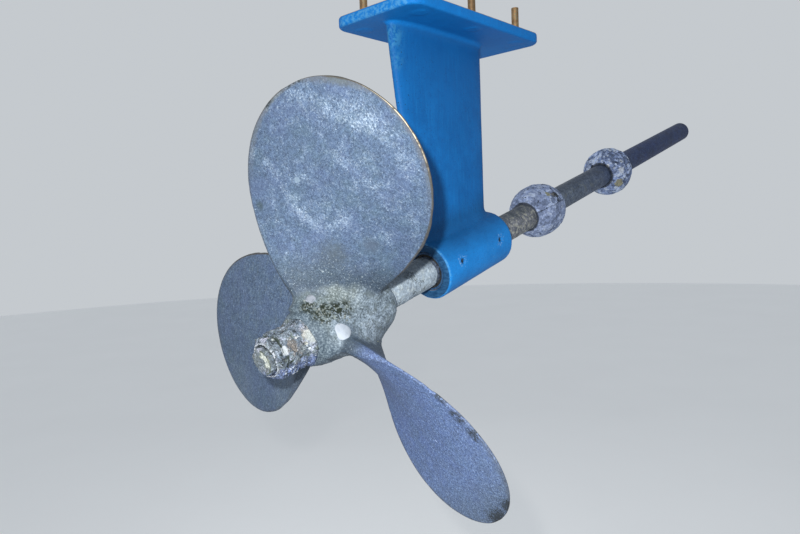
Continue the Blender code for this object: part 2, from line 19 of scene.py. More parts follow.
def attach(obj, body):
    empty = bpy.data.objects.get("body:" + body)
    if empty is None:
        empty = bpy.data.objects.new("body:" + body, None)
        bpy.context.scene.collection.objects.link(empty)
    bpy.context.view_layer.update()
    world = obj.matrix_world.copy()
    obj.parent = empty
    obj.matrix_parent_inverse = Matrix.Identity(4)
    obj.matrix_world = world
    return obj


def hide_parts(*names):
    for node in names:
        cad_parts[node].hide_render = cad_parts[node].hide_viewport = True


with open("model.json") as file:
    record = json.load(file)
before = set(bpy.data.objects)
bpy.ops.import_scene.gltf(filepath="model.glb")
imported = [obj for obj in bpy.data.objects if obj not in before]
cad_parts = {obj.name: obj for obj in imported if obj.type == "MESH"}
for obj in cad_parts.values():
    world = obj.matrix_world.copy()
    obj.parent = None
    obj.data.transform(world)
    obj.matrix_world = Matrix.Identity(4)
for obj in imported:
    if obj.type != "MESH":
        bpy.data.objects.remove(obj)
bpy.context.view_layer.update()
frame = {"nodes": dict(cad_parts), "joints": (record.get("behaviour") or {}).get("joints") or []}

# Shaft line, from the frame's own joint
JOINT = frame["joints"][0]
SHAFT_PLACE = Vector(JOINT["pos_m"])
SHAFT_RUN = Vector(JOINT["axis"]).normalized()
SLOPE = math.atan2(SHAFT_RUN.z, SHAFT_RUN.x)
SHAFT_FRAME = Matrix.Translation(SHAFT_PLACE) @ Matrix.Rotation(-SLOPE, 4, "Y")
TO_SHAFT = SHAFT_FRAME.inverted()
SHAFT_R = 0.0254
BARREL_LENGTH = 0.193
PALM_THICK = 0.016

# Hub
HUB_FORE = -0.1245
HUB_AFT = -0.2832
HUB_R = 0.0490
HUB_BORE_FORE = 0.0254
HUB_BORE_AFT = 0.0205
HUB_POINTS = 150
HUB_ROWS = 76
HUB_FORE_ROUND = 0.0085
HUB_AFT_ROUND = 0.0120

# Nuts under their crust
NUT_HALF = 0.0275
GROOVE = -0.3268
CRUST_AFT = -0.3395
STEM_R = 0.0197
STEM_AFT = -0.3472
STEM_ROUND = 0.0012
NUT_ROUND = 0.0034
NUT_FACE_R = 0.0262
NUT_BORE = 0.0193
NUT_STEP = 0.0006
NUT_POINTS = 240
NUT_FACE_RINGS = 18
# Name, fore and aft end, swell, collar of growth, seed
NUTS = (
    ("propeller_nut", HUB_AFT - 0.0002, GROOVE, 0.0014, 0.0088, 301),
    ("jam_nut", GROOVE - 0.0002, CRUST_AFT, 0.0006, 0.0, 331),
)

# Blades: the same form as the CAD model's, drawn finer
BLADES = 3
PROP_R = 0.3487
BLADE_PLACE = -0.2052
BLADE_ANGLE = -0.2786
PITCH_RATIO = 0.6945
PITCH_GAIN = 0.0575
CHORD_TERMS = (1.2176, 2.2315, 0.6428, -0.2384)
SKEW_TERMS = (-0.1253, 0.0440)
RAKE_TERMS = (-0.1258, 0.0962)
BLADE_START = 0.18
ROOT_THICK = 0.017
TIP_THICK = 0.0055
EDGE_THICK = 0.0034
ROOT_DROP = 0.0120
ROOT_EDGE = 0.0070
BLADE_FILLET = 0.018
BLADE_FOOT_R = 0.036
TIP_CUT = 0.0008
BLADE_ROWS = 84
BLADE_COLUMNS = 84

# Camera, fitted to the photograph: 644 pixels of focal length over 800 of width
CAMERA_PLACE = Vector((-0.8826, -0.7012, -0.3271))
CAMERA_RIGHT = Vector((0.67968, -0.73258, -0.037))
CAMERA_AHEAD = Vector((0.72952, 0.68037, -0.07))
SENSOR = 36.0
LENS = SENSOR * 644 / 800

# Floor under the part
FLOOR_Z = -1.90
FLOOR_R = 14.0

# Growth on the shaft, the hub's scars and barnacles
SLEEVE_POINTS = 220
SLEEVE_STEP = 0.0010
SLEEVE_LIFT = 0.0001
SLEEVE_SINK = 0.0004
SCAR_POINTS = 72
SCAR_RAY = 0.02
RAY_START = 0.066
BARNACLE_SEED = 7
BARNACLE_POINTS = 14
# Radius and height up a barnacle, as shares of its own
BARNACLE_LEVELS = (
    (1.0, -0.15),
    (0.92, 0.25),
    (0.72, 0.75),
    (0.50, 1.0),
    (0.38, 0.98),
    (0.30, 0.55),
    (0.05, 0.45),
)
# x, degrees, spread, count, least and largest size
HUB_CLUSTERS = (
    (-0.2545, -40, 0.016, 16, 0.0020, 0.0045),
    (-0.2620, -14, 0.014, 10, 0.0018, 0.0040),
    (-0.2300, -55, 0.022, 16, 0.0018, 0.0036),
    (-0.2000, 40, 0.040, 16, 0.0018, 0.0042),
    (-0.2100, 170, 0.050, 22, 0.0018, 0.0045),
)

# Voxels of the pieces drawn again, and how close points have to lie to be welded
STRUT_VOXEL = 0.0022
ANODE_VOXEL = 0.0011
WELD = 0.000002

# The bearing's hole keeps its shape inside this radius, and this far from its ends
BORE_KEEP_R = 0.040
BORE_MARGIN = 0.001

# Bolt heads: from this height down they are filled to a little below the palm
HEAD_Z = -0.012
HEAD_FILL = 0.0010
HEAD_TOP = -0.0006

# Slot of the coating on blades and hub
BLADE_SLOT = "weathered_grey_coating"

# The anodes' parting plane is turned down by this towards port
ANODE_SPLIT = math.radians(16)


# Mesh helpers


def add_object(name, mesh):
    piece = bpy.data.objects.new(name, mesh)
    bpy.context.scene.collection.objects.link(piece)
    return piece


@contextlib.contextmanager
def drawing(mesh, *sources):
    """A bmesh of the source meshes, written to a mesh in the end."""
    work = bmesh.new()
    for source in sources:
        work.from_mesh(source)
    yield work
    work.to_mesh(mesh)
    work.free()


def ladder(count):
    """Faces that fill a ring from its first point across to its middle one."""
    low = 1
    high = count - 1
    faces = [(0, low, high)]
    while high - low > 2:
        faces.append((low, low + 1, high - 1, high))
        low += 1
        high -= 1
    if high - low == 2:
        faces.append((low, low + 1, high))
    return faces


def tube(name, rings, closed=False):
    """A closed skin over rings of points, an array of rings x points x 3, in shaft coordinates."""
    rows, count, _ = rings.shape
    steps = rows if closed else rows - 1
    i = np.arange(steps)[:, None] * count
    after = (np.arange(steps)[:, None] + 1) % rows * count
    j = np.arange(count)[None, :]
    k = (j + 1) % count
    faces = np.stack([i + j, i + k, after + k, after + j], -1).reshape(-1, 4).tolist()
    if not closed:
        last = (rows - 1) * count
        faces += [tuple(reversed(face)) for face in ladder(count)]
        faces += [tuple(last + n for n in face) for face in ladder(count)]
    mesh = bpy.data.meshes.new(name)
    mesh.from_pydata(rings.reshape(-1, 3).tolist(), [], faces)
    mesh.transform(SHAFT_FRAME)
    face_outward(mesh)
    return add_object(name, mesh)


def face_outward(mesh):
    """Flip the mesh if its volume comes out negative."""
    with drawing(mesh, mesh) as work:
        if work.calc_volume(signed=True) < 0:
            bmesh.ops.reverse_faces(work, faces=work.faces)


def lathe(x, radius, count):
    """Rings about the shaft, from arrays of places and radii."""
    angle = np.arange(count) * 2 * math.pi / count
    x = np.broadcast_to(np.asarray(x, float)[:, None], (len(x), count))
    radius = np.asarray(radius, float)
    if radius.ndim == 1:
        radius = radius[:, None]
    return np.stack([x, radius * np.sin(angle), radius * np.cos(angle)], -1)


def node_copy(*names):
    """One new object with the welded meshes of CAD nodes."""
    mesh = bpy.data.meshes.new(names[0] + "_copy")
    with drawing(mesh, *(frame["nodes"][name].data for name in names)) as work:
        bmesh.ops.remove_doubles(work, verts=work.verts, dist=WELD)
    return add_object(names[0] + "_copy", mesh)


def settle(piece):
    """Apply the piece's modifiers."""
    graph = bpy.context.evaluated_depsgraph_get()
    mesh = bpy.data.meshes.new_from_object(piece.evaluated_get(graph))
    piece.modifiers.clear()
    piece.data = mesh


def remesh(piece, voxel, passes):
    """Draw the piece again in small even faces, and smooth it a little."""
    step = piece.modifiers.new("voxels", "REMESH")
    step.mode = "VOXEL"
    step.voxel_size = voxel
    soften = piece.modifiers.new("soften", "SMOOTH")
    soften.factor = 0.5
    soften.iterations = passes
    settle(piece)


def unite(piece, helper):
    """Join a helper to the piece by a Boolean, and remove the helper."""
    step = piece.modifiers.new("unite", "BOOLEAN")
    step.operation = "UNION"
    step.solver = "EXACT"
    step.object = helper
    settle(piece)
    bpy.data.objects.remove(helper)


def three_each(rows, key):
    values = np.empty(len(rows) * 3)
    rows.foreach_get(key, values)
    return values.reshape(-1, 3)


def vertex_points(piece):
    return three_each(piece.data.vertices, "co")


def set_points(piece, points):
    piece.data.vertices.foreach_set("co", points.ravel())
    piece.data.update()


def displace(piece, heights):
    """Move the points along their normals."""
    normals = three_each(piece.data.vertex_normals, "vector")
    set_points(piece, vertex_points(piece) + normals * heights[:, None])


def set_value(piece, name, values):
    """Store one number or three for each vertex."""
    values = np.asarray(values, np.float32)
    kind, key = ("FLOAT", "value") if values.ndim == 1 else ("FLOAT_VECTOR", "vector")
    made = piece.data.attributes.new(name, kind, "POINT")
    made.data.foreach_set(key, values.ravel())


def in_shaft(points):
    """Row-frame points in shaft coordinates."""
    matrix = np.array(TO_SHAFT)
    return points @ matrix[:3, :3].T + matrix[:3, 3]


def smoothstep(low, high, value):
    t = np.clip((value - low) / (high - low), 0.0, 1.0)
    return t * t * (3 - 2 * t)


def finish_piece(piece, name, body, look, slot, *replaced):
    """Name, shade and dress a piece, and let it ride on its body."""
    piece.name = name
    piece.data.name = name
    piece.data.materials.clear()
    piece.data.materials.append(look)
    piece.data.shade_smooth()
    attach(piece, body)
    if replaced:
        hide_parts(*replaced)


# Noise on points


def lattice(cells, seed):
    """A repeatable random number from 0 to 1 for each whole-numbered cell."""
    mixed = cells[..., 0] * 73856093 ^ cells[..., 1] * 19349663 ^ cells[..., 2] * 83492791
    mixed = (mixed ^ seed * 40503) * 668265263
    mixed = (mixed ^ mixed >> 15) * 374761393
    return ((mixed ^ mixed >> 13) & 0xFFFFFF) / 0xFFFFFF


def waves(points, size, seed):
    """Smooth noise from -1 to 1 with lumps of a size."""
    scaled = points / size
    base = np.floor(scaled).astype(np.int64)
    part = scaled - base
    part = part * part * (3 - 2 * part)
    total = np.zeros(points.shape[:-1])
    for corner in itertools.product((0, 1), repeat=3):
        weight = np.prod(np.where(corner, part, 1 - part), axis=-1)
        total += weight * lattice(base + np.array(corner), seed)
    return 2 * total - 1


def rough(points, size, seed, octaves=4):
    """Noise whose finer lumps are half as high."""
    return sum(waves(points, size / 2**k, seed + k) / 2**k for k in range(octaves))


def grains(points, size, seed):
    """Distance to the nearest of scattered points, in grain sizes, and that point's own number."""
    scaled = points / size
    base = np.floor(scaled).astype(np.int64)
    nearest = np.full(points.shape[:-1], 9.0)
    mark = np.zeros(points.shape[:-1])
    for step in itertools.product((-1, 0, 1), repeat=3):
        corner = base + np.array(step)
        jitter = np.stack([lattice(corner, seed + 7 * k) for k in range(1, 4)], -1)
        gap = np.linalg.norm(corner + jitter - scaled, axis=-1)
        closer = gap < nearest
        nearest[closer] = gap[closer]
        mark[closer] = lattice(corner[closer], seed)
    return nearest, mark


def stir(points, size, seed):
    """Three noises for each point; added to the points, they make outlines ragged."""
    return np.stack([waves(points, size, seed + k) for k in range(3)], -1)


def dots(points, size, seed, reach, rarity):
    """Round dots about scattered points, as high as their reach; the rarity leaves some out."""
    gap, chance = grains(points, size, seed)
    return np.clip(reach - gap, 0.0, reach) * (chance > rarity)


# Material helpers


class Field:
    """A shader value that takes part in plain arithmetic. Colours are in thousandths."""

    def __init__(self, look, socket):
        self.look = look
        self.socket = socket

    def __add__(self, other):
        return self.look.math("ADD", self, other)

    def __radd__(self, other):
        return self.look.math("ADD", other, self)

    def __sub__(self, other):
        return self.look.math("ADD", self, -other)

    def __rsub__(self, other):
        return self.look.math("SUBTRACT", other, self)

    def __mul__(self, other):
        if isinstance(other, tuple):
            return self.look.node("VectorMath", {0: self, 1: other}, operation="MULTIPLY")
        return self.look.math("MULTIPLY", self, other)

    def __or__(self, other):
        """The larger of the two."""
        return self.look.math("MAXIMUM", self, other)

    def __abs__(self):
        return self.look.math("ABSOLUTE", self)

    def band(self, low, high):
        """0 at low and 1 at high, with a smooth step between; low may be the larger number."""
        inputs = {"Value": self, "From Min": min(low, high), "From Max": max(low, high)}
        if low > high:
            inputs.update({"To Min": 1.0, "To Max": 0.0})
        return self.look.node("MapRange", inputs, interpolation_type="SMOOTHSTEP")

    def between(self, first, second):
        """The first colour where this mask is 0, the second where it is 1."""
        return self.look.mix(self, first, second)

    def over(self, mask, shade):
        """This colour with another laid over it where the mask is 1."""
        return self.look.mix(mask, self, shade)

    def tinted(self, mask, gains):
        """This colour times gains where the mask is 1."""
        return self.over(mask, self.look.mix(1.0, self, gains, "MULTIPLY"))


class Look:
    """A procedural material, built up from small steps. Fields and plain values can be mixed."""

    def __init__(self, name, metallic=0.0):
        self.material = bpy.data.materials.new(name)
        self.material.use_nodes = True
        self.tree = self.material.node_tree
        self.shader = self.tree.nodes["Principled BSDF"]
        self.shader.inputs["Metallic"].default_value = metallic
        self.colour = None
        self.place = self.node("TexCoord", {}, "Object")
        turn = {"Vector": self.place, "Location": SHAFT_PLACE, "Rotation": (0, -SLOPE, 0)}
        self.along = self.node("Mapping", turn, vector_type="TEXTURE")

    def make(self, kind, inputs, **settings):
        made = self.tree.nodes.new("ShaderNode" + kind)
        for key, value in settings.items():
            setattr(made, key, value)
        for key, value in inputs.items():
            self.put(made.inputs[key], value)
        return made

    def node(self, kind, inputs, output=0, **settings):
        return Field(self, self.make(kind, inputs, **settings).outputs[output])

    def put(self, socket, value):
        if isinstance(value, Field):
            self.tree.links.new(value.socket, socket)
        elif socket.type == "RGBA":
            socket.default_value = (*(part / 1000 for part in value), 1.0)
        else:
            socket.default_value = value

    def stored(self, name, output="Fac"):
        """A value kept on the vertices."""
        return self.node("Attribute", {}, output, attribute_name=name)

    def noise(self, size, detail=4.0, roughness=0.7, at=None, distortion=0.0):
        """Noise around 0.5 with lumps of a size in metres."""
        inputs = {"Vector": at or self.place, "Scale": 1 / size, "Detail": detail}
        inputs.update({"Roughness": roughness, "Distortion": distortion})
        return self.node("TexNoise", inputs, "Fac")

    def cells(self, size, at=None, feature="F1", output="Distance"):
        """Distance in scattered cells of a size in metres, or their random colour."""
        inputs = {"Vector": at or self.place, "Scale": 1 / size}
        return self.node("TexVoronoi", inputs, output, feature=feature)

    def warped(self, size, amount):
        """Places pushed about by noise, for cells with ragged outlines."""
        inputs = {"Vector": self.place, "Scale": 1 / size, "Detail": 3.0}
        push = self.node("TexNoise", inputs, "Color")
        push = self.node("VectorMath", {0: push, 1: (0.5, 0.5, 0.5)}, operation="SUBTRACT")
        push = self.node("VectorMath", {0: push, "Scale": 4 * amount}, operation="SCALE")
        return self.node("VectorMath", {0: self.place, 1: push}, operation="ADD")

    def mosaic(self, size, low, high):
        """Make the colour lighter and darker from one ragged cell to the next."""
        tone = self.cells(size, at=self.warped(size * 1.2, size * 0.3), output="Color")
        scaled = {0: self.colour, "Scale": low + tone * (high - low)}
        self.colour = self.node("VectorMath", scaled, operation="SCALE")

    def math(self, operation, a, b=0.0):
        return self.node("Math", {0: a, 1: b}, operation=operation)

    def mix(self, factor, a, b, blend="MIX"):
        return self.node("Mix", {0: factor, 6: a, 7: b}, 2, data_type="RGBA", blend_type=blend)

    def parts(self, vector):
        return [Field(self, socket) for socket in self.make("SeparateXYZ", {0: vector}).outputs]

    def off_axis(self):
        """Distance from the shaft's axis."""
        _, y, z = self.parts(self.along)
        return self.math("SQRT", y * y + z * z)

    def spot(self, centre, radius, wobble=0.0, soft=0.6, grain=0.012, at=None):
        """1 near a point and 0 outside a ragged radius, in shaft coordinates unless told otherwise."""
        ends = {0: at or self.along, 1: centre}
        gap = self.node("VectorMath", ends, "Value", operation="DISTANCE")
        if wobble:
            gap = gap + (self.noise(grain, 4.0, 0.65) - 0.5) * (2 * wobble * radius)
        return gap.band(radius, radius * soft)

    def spots(self, rows, *edge):
        """The largest of several spots, each (x, radius, degrees, size)."""
        first, *others = [self.spot(around(*place), size, *edge) for *place, size in rows]
        for other in others:
            first = first | other
        return first

    def coat(self, mask, shade):
        """Lay a colour over the present one where the mask is 1."""
        self.colour = self.colour.over(mask, shade)

    def tint(self, mask, gains):
        """Multiply the present colour where the mask is 1."""
        self.colour = self.colour.tinted(mask, gains)

    def done(self, roughness, specular, *bumps):
        """Close the material. Each bump is (height, metres, strength), on top of the one before."""
        inputs = {"Base Color": self.colour, "Roughness": roughness, "Specular IOR Level": specular}
        under = {}
        for height, distance, strength in bumps:
            bump = {"Height": height, "Distance": distance, "Strength": strength, **under}
            under = {"Normal": self.node("Bump", bump)}
        for name, value in {**inputs, **under}.items():
            self.put(self.shader.inputs[name], value)
        return self.material


def around(x, radius, degrees):
    """A point in shaft coordinates, its angle from straight up towards port."""
    angle = math.radians(degrees)
    return (x, radius * math.sin(angle), radius * math.cos(angle))


# Propeller: hub and blades in one casting


def series(terms, value):
    return sum(term * value**power for power, term in enumerate(terms))


def fillet(radius, distance):
    """How far a round fillet stands off a wall at a distance from the surface it meets."""
    start = 0.12 * radius
    near = np.clip(distance, start, radius)
    depth = np.sqrt(radius**2 - (radius - near) ** 2)
    slope = (radius - near) / depth
    return radius - depth + slope * np.clip(start - distance, 0.0, 2 * start)


def blade_terms(share):
    """Half width, mid line, rake and slant of the blade at shares of the tip radius."""
    out = share - BLADE_START
    spread = fillet(BLADE_FILLET, share * PROP_R - HUB_R)
    half = np.sqrt(np.clip(1 - share, 0.0, 1.0)) * series(CHORD_TERMS, share - 0.6) * PROP_R / 2
    middle = series((0.0, *SKEW_TERMS), out) * PROP_R
    rake = series((0.0, *RAKE_TERMS), out) * PROP_R
    pitch = (PITCH_RATIO + PITCH_GAIN * (share - 0.7)) * 2 * PROP_R
    slant = np.arctan2(pitch, 2 * math.pi * share * PROP_R)
    return half, spread, middle, rake, slant


def worn_outline(share, side, number):
    """Small dents and waves in the blade's edge, as a change of its half width."""
    r = share * PROP_R
    along = np.stack([r, np.full_like(share, side * 0.5), np.full_like(share, number * 1.0)], -1)
    dents = -0.0022 * smoothstep(0.55, 0.95, waves(along, 0.016, 11))
    return 0.0009 * waves(along, 0.03, 5) + 0.0004 * waves(along, 0.006, 6) + dents


def blade_rings(number):
    """One blade's sections from foot to tip, each a closed ring with round edges."""
    steps = np.linspace(0, 1, BLADE_ROWS)
    first = (HUB_R + BLADE_FILLET) / PROP_R
    root = HUB_R + np.linspace(-0.002, BLADE_FILLET, 12)[:-1]
    root = np.concatenate([[BLADE_FOOT_R], root]) / PROP_R
    share = np.concatenate([root, 1 - (1 - first) * (1 - steps) ** 1.7 - TIP_CUT * steps])[:, None]
    half, spread, middle, rake, slant = blade_terms(share)
    r = share * PROP_R
    thick = ROOT_THICK + (TIP_THICK - ROOT_THICK) * share**0.8
    across = np.sin(np.linspace(-math.pi / 2, math.pi / 2, BLADE_COLUMNS + 1))[None, :]
    blunt = smoothstep(0.46, 0.16, share)
    rim = EDGE_THICK + ROOT_EDGE * blunt
    drop = ROOT_DROP * blunt
    body = rim + (thick - rim) * np.clip(1 - across**2, 0.0, 1.0) ** 0.8
    edge = np.linspace(0, math.pi, 8)[None, 1:-1]
    reach = rim / 2 + 0.25 * drop
    edge_out = np.sin(edge) * reach
    edge_lift = (rim - drop) / 2 - np.cos(edge) * ((rim + drop) / 2 + spread)
    wear_fore = worn_outline(share, -1, number) * smoothstep(0.25, 0.35, share)
    wear_aft = worn_outline(share, 1, number) * smoothstep(0.25, 0.35, share)
    wear = (wear_fore * (1 - across) + wear_aft * (1 + across)) / 2
    shrink = np.clip(half / 0.02, 0.0, 1.0)
    limit = half + spread - (reach - EDGE_THICK / 2)
    flat = across * (limit + wear * shrink)
    ahead = -(limit + wear_fore * shrink + edge_out)
    behind = limit + wear_aft * shrink + edge_out
    arc = middle + np.concatenate([flat, behind, flat[:, ::-1], ahead[:, ::-1]], 1)
    sheet = np.zeros_like(flat)
    low = sheet - spread - drop
    high = body + spread
    lift = np.concatenate([low, edge_lift, high[:, ::-1], edge_lift[:, ::-1]], 1)
    angle = BLADE_ANGLE + number * 2 * math.pi / BLADES
    turn = angle + (arc * np.cos(slant) + np.sin(slant) * lift) / r
    x = BLADE_PLACE + rake - arc * np.sin(slant) + np.cos(slant) * lift
    return np.stack([x, r * np.sin(turn), r * np.cos(turn)], -1)


def hub_rings():
    """The hub's outline and its bore, as a closed turn."""
    length = HUB_FORE - HUB_AFT
    share = np.linspace(0.004, 0.996, HUB_ROWS)
    fore_round = HUB_FORE_ROUND * np.clip(1 - share / 0.18, 0.0, 1.0) ** 2.4
    aft_round = HUB_AFT_ROUND * np.clip((share - 0.5) / 0.5, 0.0, 1.0) ** 3
    x = HUB_FORE - share * length
    outer = HUB_R - fore_round - aft_round
    x = np.concatenate([[HUB_FORE, HUB_FORE], x, [HUB_AFT, HUB_AFT]])
    aft = [outer[-1] - 0.003, HUB_BORE_AFT]
    outer = np.concatenate([[HUB_BORE_FORE, outer[0] - 0.002], outer, aft])
    return lathe(x, outer, HUB_POINTS)


def sheet_coordinates(points):
    """For each point: place across its blade, distance inside the edge, lift, radius and blade."""
    x, y, z = in_shaft(points).T
    r = np.hypot(y, z)
    share = r / PROP_R
    half, spread, middle, rake, slant = blade_terms(np.clip(share, 0.1, 1 - TIP_CUT))
    turn = np.arctan2(y, z) - BLADE_ANGLE
    pitch = 2 * math.pi / BLADES
    number = np.round(turn / pitch)
    swing = (turn - number * pitch) * r
    ahead = x - BLADE_PLACE - rake
    arc = swing * np.cos(slant) - ahead * np.sin(slant)
    lift = swing * np.sin(slant) + ahead * np.cos(slant)
    tip = np.clip(1 - share, 0.0, 1.0) * PROP_R
    inside = np.minimum(half + spread - np.abs(arc - middle), tip)
    return arc - middle, inside, lift, r, number % BLADES


def clouds(points, spots):
    """The strongest of soft spots of centre, radius and gain at each point."""
    bent = in_shaft(points) + 0.007 * stir(points, 0.013, 71)
    total = np.zeros(len(points))
    for *place, radius, gain in spots:
        gap = np.linalg.norm(bent - np.array(around(*place)), axis=-1)
        total = np.maximum(total, gain * smoothstep(radius, 0.15 * radius, gap))
    return total


def make_propeller():
    hub = tube("hub", hub_rings(), closed=True)
    for number in range(BLADES):
        unite(hub, tube("blade", blade_rings(number)))
    points = vertex_points(hub)
    arc, inside, lift, r, number = sheet_coordinates(points)
    grown = smoothstep(0.105, 0.055, r)
    lumps = np.minimum(dots(points, 0.0032, 3, 0.55, 0.45), 0.5)
    heights = 0.00022 * waves(points, 0.035, 21) + 0.00010 * waves(points, 0.012, 22)
    relief = 0.5 * rough(points, 0.010, 31) + 1.3 * lumps
    heights += grown * (0.0010 * relief)
    outer = smoothstep(0.030, 0.036, r)
    displace(hub, heights * outer)
    set_value(hub, "sheet", np.stack([arc, r, lift], -1))
    set_value(hub, "inside", inside)
    set_value(hub, "blade", number)
    set_value(hub, "relief", 0.5 + 0.5 * relief)
    set_value(hub, "cover", clouds(points, PALE_SPOTS))
    return hub


def propeller_look():
    """Blue-grey coating, another on each blade, with growth on the hub and the blades' roots."""
    look = Look("weathered_grey_blades")
    sheet = look.stored("sheet", "Vector")
    arc, r, lift = look.parts(sheet)
    ahead, _, _ = look.parts(look.along)
    inside = look.stored("inside")
    number = look.stored("blade")
    relief = look.stored("relief")
    away = r.band(0.07, 0.11)
    third = number.band(1.4, 1.6) * away
    second = number.band(0.4, 0.6) * number.band(1.6, 1.4) * away
    first = 1 - (third + second)
    # How thick the pale grains lie: in clouds, and most on the upper blade
    cover = look.noise(0.03, 5.0, 0.65, distortion=0.8) + look.stored("cover")
    cover = (cover - 0.5) * (0.35 + first * 0.65)
    grain = look.noise(0.0052)
    grit = look.noise(0.0017, 3.0, 0.8)
    streak = look.noise(0.005, 3.0, 0.6, at=sheet * (1.0, 0.14, 1.0))
    strength = 0.6 + first * 0.4
    tone = (grain + streak * 0.5).band(0.6, 0.9)
    look.colour = tone.between((34, 54, 96), (52, 80, 132))
    look.coat(grit.band(0.44, 0.62) * 0.65, (82, 120, 182))
    look.coat(grit.band(0.46, 0.34) * 0.7, (18, 30, 54))
    scale = look.noise(0.0027)
    pale = (scale + cover * 0.46).band(0.54, 0.66)
    look.coat(pale * 0.52 * strength, (150, 200, 275))
    white = (look.noise(0.0023, 3.0, 0.8) + cover * 0.38).band(0.62, 0.7)
    look.coat(white * 0.62 * strength, (350, 410, 470))
    dots = look.cells(0.0058).band(0.22, 0.14) * look.cells(0.0058, output="Color").band(0.58, 0.6)
    look.coat(dots * cover.band(-0.06, 0.06) * 0.32, (300, 370, 440))
    dirt = look.noise(0.0036, 3.0, 0.75)
    look.coat(dirt.band(0.6, 0.67) * 0.65, (18, 30, 48))
    web = look.cells(0.0056, at=look.warped(0.006, 0.0018), feature="DISTANCE_TO_EDGE")
    web = web.band(0.08, 0.02) * cover.band(0.02, 0.12) * first
    look.coat(web * 0.18, (260, 320, 390))
    look.mosaic(0.0036, 0.76, 1.20)
    hue = look.noise(0.035, 3.0, 0.6)
    look.coat(hue.band(0.48, 0.66) * 0.2, (70, 92, 185))
    look.coat(hue.band(0.48, 0.34) * 0.22, (55, 90, 105))
    for *place, radius, soft, shade in BLADE_MARKS:
        look.coat(look.spot(around(*place), radius, 0.6, soft, 0.005) * 0.8, shade)
    # The port blade is streaked along its length, the starboard one speckled grey-green
    brushed = look.noise(0.0052, 4.0, 0.75, at=sheet * (0.2, 1.0, 1.0))
    olive = hue.band(0.4, 0.6).between((88, 104, 112), (74, 98, 128))
    look.coat(brushed.band(0.5, 0.64) * second * 0.32, olive)
    look.coat(brushed.band(0.48, 0.36) * second * 0.32, (20, 31, 56))
    lower = look.spots(((-0.237, 0.318, 117, 0.08), (-0.254, 0.165, 134, 0.06)), 0.3, 0.2)
    look.coat(lower * scale.band(0.42, 0.58) * 0.55, (115, 145, 165))
    speckle = (scale + r.band(0.19, 0.3) * 0.1).band(0.52, 0.62)
    look.coat(speckle * third * 0.6, (94, 122, 146))
    murky = look.noise(0.016, 4.0, 0.65).band(0.46, 0.6)
    look.coat(murky * third * 0.4, (52, 68, 86))
    along_blade = look.noise(0.004, at=sheet * (1.0, 0.3, 1.0))
    look.coat(along_blade.band(0.46, 0.36) * third * 0.3, (22, 32, 50))
    look.coat(along_blade.band(0.58, 0.68) * third * 0.25, (105, 135, 165))
    look.coat(grit.band(0.52, 0.62) * third * 0.5, (118, 152, 196))
    look.coat(grit.band(0.46, 0.36) * third * 0.55, (22, 32, 48))
    coarse = look.noise(0.0034, 3.0, 0.85)
    speckled = 0.22 + (third * 0.63 + second * 0.28)
    look.coat(coarse.band(0.55, 0.66) * speckled, (170, 218, 270))
    look.coat(coarse.band(0.45, 0.34) * speckled, (18, 28, 44))
    look.tint(third, (1240, 1360, 1660))
    bluer = third * r.band(0.335, 0.275)
    look.tint(bluer, (1130, 1170, 1340))
    look.tint(second, (1100, 1160, 1220))
    look.tint(first, (990, 1050, 1100))
    lower_first = first * r.band(0.23, 0.16)
    look.tint(lower_first, (1060, 1060, 1060))
    # Tinted border, worn leading edge, a bright edge line that is partly worn bare bronze and partly a
    # painted highlight, and dark patches along the edge
    edge_noise = look.noise(0.010)
    leading = arc.band(0.03, -0.03)
    border = (inside + (edge_noise - 0.5) * 0.014).band(0.013, 0.004)
    border = border * r.band(0.2, 0.32) * (0.3 + first * 0.6)
    tint = hue.band(0.4, 0.6).between((74, 80, 98), (74, 86, 82))
    look.coat(border * 0.75, tint.over(pale * 0.45, (180, 200, 215)))
    rim = (inside + (edge_noise - 0.5) * 0.003).band(0.0024, 0.0006)
    dark_edge = leading | r.band(0.29, 0.33) * first
    look.coat(rim * 0.8 * (0.35 + dark_edge * 0.65), (46, 40, 28))
    # Bright line on the upper blade's edge: partly worn bare bronze, partly a painted highlight
    worn_edge_highlight = lift.band(0.0011, 0.0004) * edge_noise.band(0.38, 0.52)
    worn_edge_highlight = worn_edge_highlight * inside.band(0.0005, 0.0001)
    worn_edge_highlight = worn_edge_highlight * look.spot(around(-0.19, 0.322, -35), 0.085, 0.2, 0.2)
    look.coat(worn_edge_highlight, (400, 355, 265))
    scratch = look.noise(0.004, 4.0, 0.75, at=sheet * (1.0, 0.6, 1.0))
    for *place, radius, depth in EDGE_CHIPS:
        chip = look.spot(around(*place), radius, 0.8, 0.4, 0.008)
        chip = chip * (scratch + grain).band(0.92, 1.0)
        chip = chip * (inside + (scratch - 0.5) * 0.02).band(depth, depth * 0.5)
        look.coat(chip * 0.9, (16, 22, 26))
    stain = look.spots(((-0.215, 0.34, -138.5, 0.04), (-0.227, 0.337, -131.5, 0.024)), 0.3, 0.3)
    stain = stain * inside.band(0.03, 0.004)
    sooty = (look.noise(0.0024, 3.0, 0.85) + stain * 0.235).band(0.6, 0.68)
    look.coat(sooty * stain.band(0.0, 0.3) * 0.88, (6, 10, 10))
